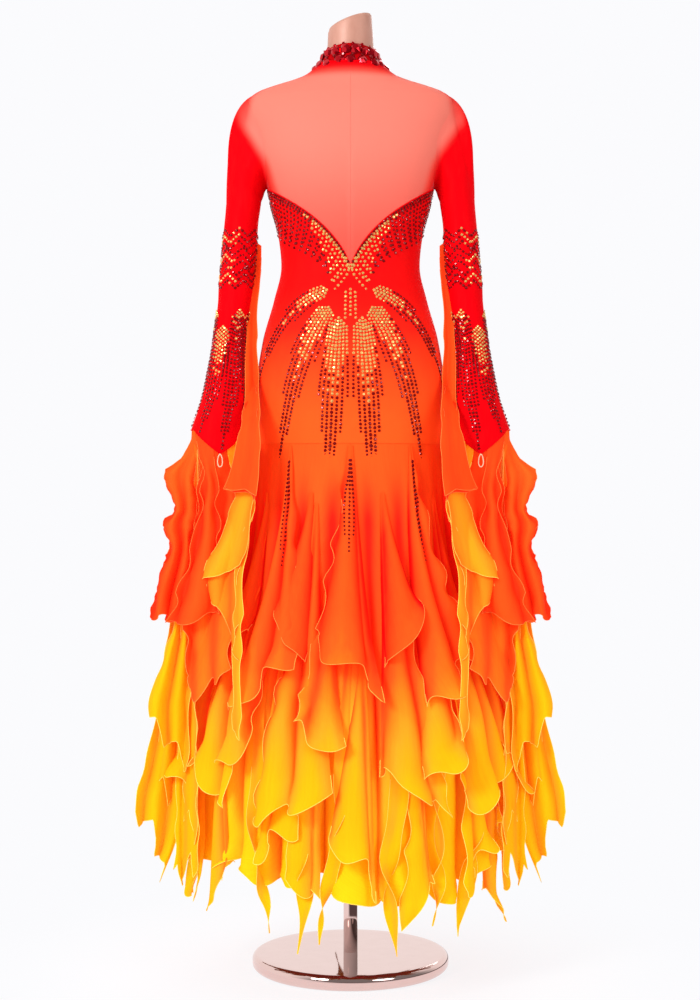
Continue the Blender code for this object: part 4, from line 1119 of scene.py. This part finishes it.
def make_panel(name, nodes, centre, apex, hem, slant, turned, cut, seed, lift):
    """A panel let into the skirt: cone-shaped folds from a narrow apex, each with a hem that runs
    aslant, down to a point. Angles are in degrees. The lift raises its tone."""
    spread, stand_off, folds, depth, zigzag = cut
    across = np.linspace(-1, 1, PANEL_COLUMNS)[None, :]
    fall = np.linspace(0, 1, 57)[:, None]
    phase = PHASE_STEP * seed
    way = 1 if seed % 2 else -1
    turn = np.pi * folds * across + phase + 0.6 * np.sin(2.2 * fall + phase)
    bottom = hem + slant * across - 0.006 * np.cos(turn) - zigzag * way * np.sin(turn)
    z = lerp(apex, bottom, fall)
    lean = 0.30 * spread / folds * fall**1.4 * np.sin(turn)
    angle = centre + turned * fall + lerp(1.0, spread, fall) * across + lean
    left, right = FREE_SIDES[seed % 5]
    free = np.where(across < 0, left, right)
    tuck = 1 - (1 - free) * np.abs(across) ** 5 * smooth((1.02 - fall) / 0.3)
    curl = 0.012 + 0.010 * smooth((0.6 - hem) / 0.2) - 0.011 * smooth((0.34 - hem) / 0.1)
    flare = curl * smooth((fall - 0.87) / 0.13) ** 1.5 * (0.5 + 0.5 * np.sin(turn * 0.5 + phase))
    bulge = stand_off * (apex - z) * (1 - 0.3 * across**2) + depth * fall**1.1 * bump(turn) + flare
    rows = over_skirt(angle, z, HANGING_GAP + bulge * tuck)
    rows = edge_frill(rows, SIDE_FRILL * free, HEM_FRILL, FRILL_WAVE, phase)
    # painted shade: the tone is made redder in the hollows between the folds, and along each sewn side where
    # the panel dips into the skirt
    side = smooth((np.abs(across) - 0.72) / 0.28)
    low = low_share(z)
    tone = DYE(z) + lift - (1 - bump(turn)) * (HOLLOW_PAINTED_SHADE + 0.05 * low) * smooth(fall * 3)
    tone = tone - (0.02 + SEWN_PAINTED_SHADE * (1 - free) * (1 - 0.5 * low)) * side * smooth(fall * 2)
    # the rolled hem runs up each side as far as that side hangs free
    rim = rim_of(rows, *(int(len(rows) * (0.93 - 0.62 * free)) for free in (left, right)))
    edges = [(rim, HEM_RADIUS, DYE(rim[:, 2]) + lift)]
    sheet(name, nodes, rows, tone, edges, *CHIFFON_CLOTH, *OVER_SKIRT)
    return rows


def make_extra_panel(kind, index, flounce, centre, seed, lift):
    """A panel without a node of its own, beside one that has one."""
    name, _, slant, turned = flounce
    beside, sway, sway_rate, apex, hem, rise, rise_rate, slanted, turns, cut = EXTRA_PANELS[kind]
    centre += beside + sway * math.sin(sway_rate * index)
    hem += rise * math.sin(rise_rate * index)
    make_panel(kind + "_" + name, [], centre, apex, hem, slanted * slant, turns * turned, cut, seed, lift)


def make_flounces():
    """Makes both tiers, and gives back the upper tier's grids for the stones on them."""
    upper = []
    for index, flounce in enumerate(SHORT_FLOUNCES):
        name, *hang = flounce
        centre, lift = PANEL_STEP * index, 0.07 * math.sin(2.1 * index + 0.5)
        upper.append(make_panel("short_" + name, [name], centre, SHORT_APEX, *hang, SHORT_CUT, index, lift))
        make_extra_panel("tucked", index, flounce, centre, 5 * index + 2, 0.03 - lift)
    for index, flounce in enumerate(LONG_FLOUNCES):
        name, hem, slant, turned = flounce
        centre, lift = PANEL_STEP * (index + 0.5), 0.09 * math.sin(1.7 * index)
        hang = hem + 0.020 * math.sin(2.7 * index), 1.4 * slant, turned
        make_panel("long_" + name, [name], centre, LONG_APEX, *hang, LONG_CUT, index + 21, lift)
        make_extra_panel("golden", index, flounce, centre, index + 11, 0.08 - lift)
        make_extra_panel("low", index, flounce, centre, index + 32, lift + 0.01)
        make_extra_panel("pillar", index, flounce, centre, 5 * index + (40, 44, 42)[index % 3], -0.02 - lift)
    return upper


def make_tails():
    """Long panels that narrow to a twisted tail below the hem."""
    across = np.linspace(-1, 1, 17)[None, :]
    fall = np.linspace(0, 1, 90)[:, None]
    narrowing = lerp(0.25, 0.62, smooth(fall / 0.5)) * (1 - smooth((fall - 0.80) / 0.21)) ** 0.8
    for index, (name, centre, half_width, tip, turned) in enumerate(TAILS):
        z = lerp(TAIL_TOP, tip, fall)
        middle = centre + turned * fall + 2.6 * np.sin(7.5 * fall + 1.9 * index) * smooth((fall - 0.35) / 0.4)
        spine = over_skirt(middle, z, HANGING_GAP + 0.008 * (TAIL_TOP - z))
        twist = (3.2 * np.sin(2.1 * np.pi * fall + index * 1.7) + 0.8) * smooth((fall - 0.45) / 0.35)
        beside = over_skirt(middle + np.array([[-1.0, 0.0, 1.0]]), z, 0.01)
        side = unit(np.gradient(beside, axis=1)[:, 1:2])
        outward = np.cross(side, (0.0, 0.0, 1.0))
        reach = (half_width * narrowing + 0.0008) * across
        out = reach * np.sin(twist) + 0.004 * np.abs(np.sin(twist))
        rows = spine + side * (reach * np.cos(twist))[..., None] + outward * out[..., None]
        # painted shade: the tone is redder where the tail turns edge-on in its twist. One half of its width
        # is also made a little lighter than the other.
        tone = DYE(z) - 0.05 - 0.16 * (1 - bump(2 * twist)) + 0.06 * np.sin(np.pi * across)
        edges = [(rim_of(rows, TAIL_RIM_START), 0.8 * HEM_RADIUS, rim_of(tone, TAIL_RIM_START))]
        sheet("ragged_" + name, [name], rows, tone, edges, [CHIFFON, HEM_EDGE], "chiffon_yellow", *OVER_SKIRT)


# -------- ruffles on the sleeves
def clear_of_skirt(rows, layer):
    """Moves the points of a sleeve's ruffle that would lie in the skirt and its flounces."""
    x, y, z = np.moveaxis(rows, -1, 0)
    margin = SKIRT_MARGIN + LAYER_GAP * layer * smooth((LAYERS_TOP - z) / 0.12)
    short = HANGING_GAP + SHORT_STAND_OFF * (SHORT_APEX - z) + SHORT_FOLD
    long = HANGING_GAP + LONG_STAND_OFF * (LONG_APEX - z) + LONG_FOLD
    out = flute_depth(z) + lerp(long, short, smooth((z - 0.44) / 0.07)) + margin
    body = [at(z) + EASE + margin for at in FORM_AT[:3]]
    skirt = [at(z) + out for at in SKIRT_AT]
    side, back, front = (lerp(b, a, smooth((z - SKIRT_SEAM) / 0.05)) for a, b in zip(body, skirt))
    depth = np.where(y < 0, back, front)
    sideways = np.maximum(x, side * np.sqrt(np.maximum(1 - (y / depth) ** 2, 0.0)))
    backwards = np.minimum(y, -back * np.sqrt(np.maximum(1 - (x / side) ** 2, 0.0)))
    near_side = y > -SIDE_ZONE
    return points(np.where(near_side, sideways, x), np.where(near_side, y, backwards), z)


RUFFLE_FALL = np.linspace(0, 1, 61)[:, None]


def ruffle_grid(top_row, hems, strips, folds, depth, order, phase, frill):
    """Rows from the sewn edge down, which leave it gently and then follow the strips in folds. The
    second result is 1 in the hollows between the folds."""
    inner, outer, back = curves_of(strips)
    across = np.linspace(0, 1, len(top_row))[None, :]
    z = lerp(top_row[None, :, 2], hems[None, :], RUFFLE_FALL)
    turn = 2 * np.pi * folds * across + phase
    swing = 0.10 * RUFFLE_FALL * np.sin(turn)
    wave = depth * RUFFLE_FALL**0.8 * np.cos(turn)
    hanging = points(lerp(inner(z), outer(z), across + swing / max(folds, 1)), back(z) - wave, z)
    sewn = points(top_row[:, 0], top_row[:, 1], z)
    rows = lerp(sewn, hanging, smooth(RUFFLE_FALL / SEWN_SHARE)[..., None])
    return edge_frill(clear_of_skirt(rows, order), frill, frill, FRILL_WAVE, phase), 1 - bump(turn)


def saw(turn, steep=0.22):
    """A wave with sharp points: a long slope, then a short one."""
    share = (turn / (2 * np.pi)) % 1.0
    return np.where(share < 1 - steep, share / (1 - steep), (1 - share) / steep) * 2 - 1


def make_ruffle(name, has_node, rows, tone):
    """A ruffle on each sleeve. A yellow one gets a paler rim, as a painted highlight."""
    lift = RIM_HIGHLIGHT_LIFT * smooth((np.mean(tone) - 0.40) / 0.25)
    for side, grid, shade in mirrored(rows, tone):
        sheet(
            "chiffon_ruffle_" + name + "_" + side, ["ruffle_" + name + "_" + side] if has_node else [],
            grid, shade, [(rim_of(grid, RIM_START), HEM_RADIUS, rim_of(shade, RIM_START) + lift)],
            *CHIFFON_CLOTH, "hung", ["long_sleeve_" + side],
        )


def make_ruffles():
    share = np.linspace(0, 1, 45)
    for name, has_node, sewn_from, sewn_to, hem_in, hem_out, bow, folds, order, tones, *rest in RUFFLES:
        phase, tuck, frill, zigzag, strips = rest
        turns = lerp(sewn_from, sewn_to, share)
        top_row = sleeve_point(turns, cuff_height(turns), -tuck)
        top_row[:, 2] += 0.0005
        turn = 2 * np.pi * folds * share + phase
        wave = saw(turn) if zigzag > 0.016 else np.sin(turn)
        hems = lerp(hem_out, hem_in, (1 - share) ** bow) - zigzag * wave
        rows, shaded_hollow = ruffle_grid(top_row, hems, strips, folds, 0.011, order, phase, frill)
        # painted shade: the tone is made redder in the hollows between the folds
        tone = lerp(*tones, smooth(RUFFLE_FALL * 1.15)) - 0.17 * shaded_hollow * smooth(RUFFLE_FALL * 2)
        if name == "outer":
            rows = edge_frill(rows, SCALLOP[0], 0.0, SCALLOP[1], 0.4)
        make_ruffle(name, has_node, rows, tone)


def make_elbow_ruffles():
    """The long float from each elbow, and a second cloth whose hem shows below it."""
    share = np.linspace(0, 1, 41)
    strips = [(z, a, b + 0.007 * smooth((z - 0.86) / 0.1), y) for z, a, b, y in ELBOW_STRIPS]
    inner, outer, back = (at(ELBOW_TOP) for at in curves_of(strips))
    top_row = points(lerp(inner, outer, share), back, ELBOW_TOP + 0.010 * (share - 0.5))
    hems = lerp(*ELBOW_HEMS, share) + 0.004 * np.sin(5 * share)
    rows, shaded_hollow = ruffle_grid(top_row, hems, strips, 1.0, 0.006, 8, 0.6, 0.0015)
    # painted shade: a little redder in the hollows between the folds
    make_ruffle("elbow", True, rows, 0.30 + 0.07 * smooth(RUFFLE_FALL * 2) - 0.05 * shaded_hollow)
    behind = [(z, a + 0.004, b - 0.001, y + 0.006) for z, a, b, y in strips]
    top_row = top_row + np.array([0.0, 0.004, -0.020])
    rows, shaded_hollow = ruffle_grid(top_row, hems - 0.009 + 0.010 * share, behind, 1.5, 0.005, 7.5, 2.4, 0.003)
    # painted shade: a little redder in the hollows between the folds
    make_ruffle("elbow_under", False, rows, 0.27 - 0.05 * shaded_hollow + 0 * RUFFLE_FALL)


# -------- rhinestones
STONE = 0.0027
STONE_GAP = 0.0062
BARB_GAP = 0.0088
ROW_GAP = 0.0085
CUFF_ROW_GAP = 0.0066
FLOUNCE_STONE_GAP = 0.0072
SLEEVE_RINGS = 9
SLEEVE_RING_TOP = 1.296
SLEEVE_RING_GAP = 0.0115
SLEEVE_PLUMES = 7
# start (angle, z), end (angle, z), bow, half width, share that is gold
HIP_PLUMES = (
    ((6.5, 1.150), (12.0, 0.862), 0.0, 0.027, 0.48),
    ((13.0, 1.166), (46.0, 0.900), 0.040, 0.027, 0.42),
    ((15.0, 1.196), (76.0, 1.030), 0.036, 0.019, 0.38),
)
STONED_FLOUNCES = (0, 1, 9)


def stone_row(piece, surface, angle, z, size, gold_until, row=0, one_side=False):
    """Stones along a line on both sides of the dress: gold at its start, garnet towards its end."""
    angle, z, share = spaced(surface, np.stack(np.broadcast_arrays(angle, z), -1), STONE_GAP)
    each = np.arange(len(share))
    golden = (each * 0.618 + row * 0.37) % 1 < smooth((gold_until - share) / 0.3 + 0.5)
    normal = normal_of(surface, angle, z)
    place = surface(angle, z) + 0.0006 * normal
    size = size * (1 + 0.14 * np.sin(each * 2.1 + row))
    for turn in (1.0,) if one_side else (1.0, LEFT):
        for slot, chosen in enumerate((golden, ~golden)):
            if chosen.any():
                add_stones(piece, (place * turn)[chosen], (normal * turn)[chosen], size[chosen], slot)


def plume(piece, surface, start, end, bow, half_width, size, gold, gap=ROW_GAP):
    """A plume of stones: rows that leave its foot together, spread out and meet again at its tip."""
    rows = int(half_width / gap)
    for row in range(-rows, rows + 1):
        share = abs(row) / max(rows, 1)
        at = np.linspace(0.02 + 0.05 * share, 1 - 0.52 * share**1.3, 90)
        apart = smooth(at / 0.55) ** 0.8 * (1 - 0.45 * at**3)
        path = off_line(surface, start, end, bow, at, row * gap * lerp(0.55, 1.0, apart))
        stone_row(piece, surface, *path.T, size * (1.10 - 0.15 * share), gold - 0.10 * share, row + rows)


def barbs(piece, surface, low, depth):
    """Two lines of stones below a neckline, and barbs that hang from them."""
    edge = np.linspace(0.8, 88, 200)
    top = neckline_height(edge, low)
    stone_row(piece, surface, edge, top - 0.0030, STONE, 0.0)
    stone_row(piece, surface, edge, top - 0.0090, STONE, 0.5, 1)
    run = run_along(surface(edge, top))
    fall = np.linspace(0, 1, 30)
    for row, first in enumerate(np.interp(np.arange(0.002, run[-1], BARB_GAP), run, edge)):
        length = depth * (0.034 + 0.030 * smooth(first / 60)) * (1 - 0.18 * (row % 2))
        z = neckline_height(first, low) - 0.0150 - length * fall
        stone_row(piece, surface, first + 9 * depth * fall**1.4, z, 0.92 * STONE, 1.25 - first / 26, row)


def on_grid(rows, down, across):
    """Points of a grid at places between its rows and columns."""
    i, j = np.floor(down).astype(int), np.floor(across).astype(int)
    u, v = (down - i)[:, None], (across - j)[:, None]
    return lerp(lerp(rows[i, j], rows[i, j + 1], v), lerp(rows[i + 1, j], rows[i + 1, j + 1], v), u)


def make_rhinestones(flounces):
    """Stones in a layout of their own: barbs under the necklines, and mirrored leaves on hips and sleeves."""
    piece = Piece()
    barbs(piece, dress_point, BACK_POINT, 1.0)
    barbs(piece, lambda angle, z: dress_point(180 + angle, z), FRONT_POINT, 0.6)
    for start, end, bow, half_width, gold in HIP_PLUMES:
        plume(piece, dress_point, start, end, bow, half_width, STONE, gold)
    z = np.linspace(1.196, 1.150, 20)
    stone_row(piece, dress_point, 0.0, z, STONE, 2.0, one_side=True)
    stone_row(piece, dress_point, 2.7, z - 0.0054, STONE, 2.0)
    for index in STONED_FLOUNCES:
        rows = flounces[index]
        for row in (-1, 0, 1):
            t = np.linspace(0.07, 0.50 - 0.08 * abs(row), 60)
            column = PANEL_COLUMNS // 2 + row * 7 * np.sin(np.pi * (t - 0.02) / 0.5)
            line = on_grid(rows, t * (len(rows) - 1), column)
            run = run_along(line)
            at = np.arange(0, run[-1], FLOUNCE_STONE_GAP)
            where = np.stack([np.interp(at, run, values) for values in line.T], -1)
            outward = unit(where * np.array([1.0, 1.0, 0.0]) + np.array([0.0, 0.0, 0.02]))
            size = lerp(STONE, 0.7 * STONE, at / run[-1])
            add_stones(piece, where + 0.0008 * outward, outward, size, 1)
    piece.make("body_rhinestones", [GOLD, GARNET], "crystal_red")

    piece = Piece()
    turn = np.linspace(0, 360, 300)
    for row in range(SLEEVE_RINGS):
        zigzag = np.abs((turn / 60 + 0.25 * (row // 3)) % 1 - 0.5) * 2
        z = SLEEVE_RING_TOP - SLEEVE_RING_GAP * row + 0.014 * zigzag
        stone_row(piece, sleeve_point, turn, z, 0.9 * STONE, 0.65 if row % 3 == 1 else 0.0, row)
    for index, angle in enumerate(np.arange(SLEEVE_PLUMES) * 360 / SLEEVE_PLUMES - 25):
        start, tip = (angle, 1.170 - 0.03 * (index % 2)), (angle + 10, cuff_height(angle + 10) + 0.008)
        gold = 0.45 if index % 2 else 0.10
        plume(piece, sleeve_point, start, tip, 0.0, 0.0205, 0.82 * STONE, gold, CUFF_ROW_GAP)
    piece.make("sleeve_rhinestones", [GOLD, GARNET], "crystal_red")


# -------- room, light and camera
# name, place, target, size, power
LIGHTS = (
    ("key", (-2.3, -2.9, 2.5), (0, 0, 0.9), 1.4, 105),
    ("fill", (2.4, -3.0, 1.6), (0, 0, 0.8), 1.8, 30),
    ("back", (0.6, 3.2, 2.4), (0, 0, 0.9), 1.8, 30),
)
FLOOR_RINGS = (0.01, 0.5, 1.5, 4.0, 12.0, 40.0)
FLOOR_LEVEL = -0.0004
LIGHT_SHADE = (1.0, 0.99, 0.985)
GLOSS_SHADE = (1.0, 0.985, 0.975)
# the photograph's viewing angle
CAMERA_PLACE = (0.0, -3.223, 0.832)
CAMERA_LENS = 64.98
CAMERA_SHIFT = -0.0005


def make_room():
    floor = lathe([(reach, FLOOR_LEVEL) for reach in FLOOR_RINGS], 96)
    floor.make("studio_floor", [floor_material()])

    graph = Graph("studio", bpy.data.worlds)
    # what gloss reflects: a pale room behind the dress, and a darker one on the photographed side
    towards = {0: graph.node("TexCoord", out="Generated"), 1: ROOM_AWAY}
    towards = graph.node("VectorMath", towards, "Value", operation="DOT_PRODUCT")
    room = graph.span(towards, 0.22, 1.0, -0.55, 0.25, "SMOOTHSTEP")
    mirrored_room = graph.glow(GLOSS_SHADE, room, "Background")
    lit = graph.blend(graph.gloss(), graph.glow(LIGHT_SHADE, 0.85, "Background"), mirrored_room)
    seen, backdrop = graph.node("LightPath", out="Is Camera Ray"), graph.glow(BACKDROP, 1.0, "Background")
    bpy.context.scene.world = graph.finish(graph.blend(seen, lit, backdrop), "World Output")

    for name, place, target, size, power in LIGHTS:
        light = bpy.data.lights.new(name, "AREA")
        light.shape = "DISK"
        light.size = size
        light.energy = power
        obj = linked(name, light)
        obj.location = place
        obj.rotation_euler = (Vector(target) - Vector(place)).to_track_quat("-Z", "Y").to_euler()

    camera = bpy.data.cameras.new("camera")
    camera.lens = CAMERA_LENS
    camera.sensor_width = 36
    camera.sensor_fit = "AUTO"
    camera.shift_x = CAMERA_SHIFT
    obj = linked("camera", camera)
    obj.location = CAMERA_PLACE
    obj.rotation_euler = (math.radians(90), 0, 0)
    bpy.context.scene.camera = obj
    bpy.context.scene.view_settings.view_transform = "Standard"


make_stand()
make_form()
make_collar()
make_yokes()
make_body()
make_sleeves()
make_skirt()
upper_flounces = make_flounces()
make_tails()
make_ruffles()
make_elbow_ruffles()
make_rhinestones(upper_flounces)
make_room()
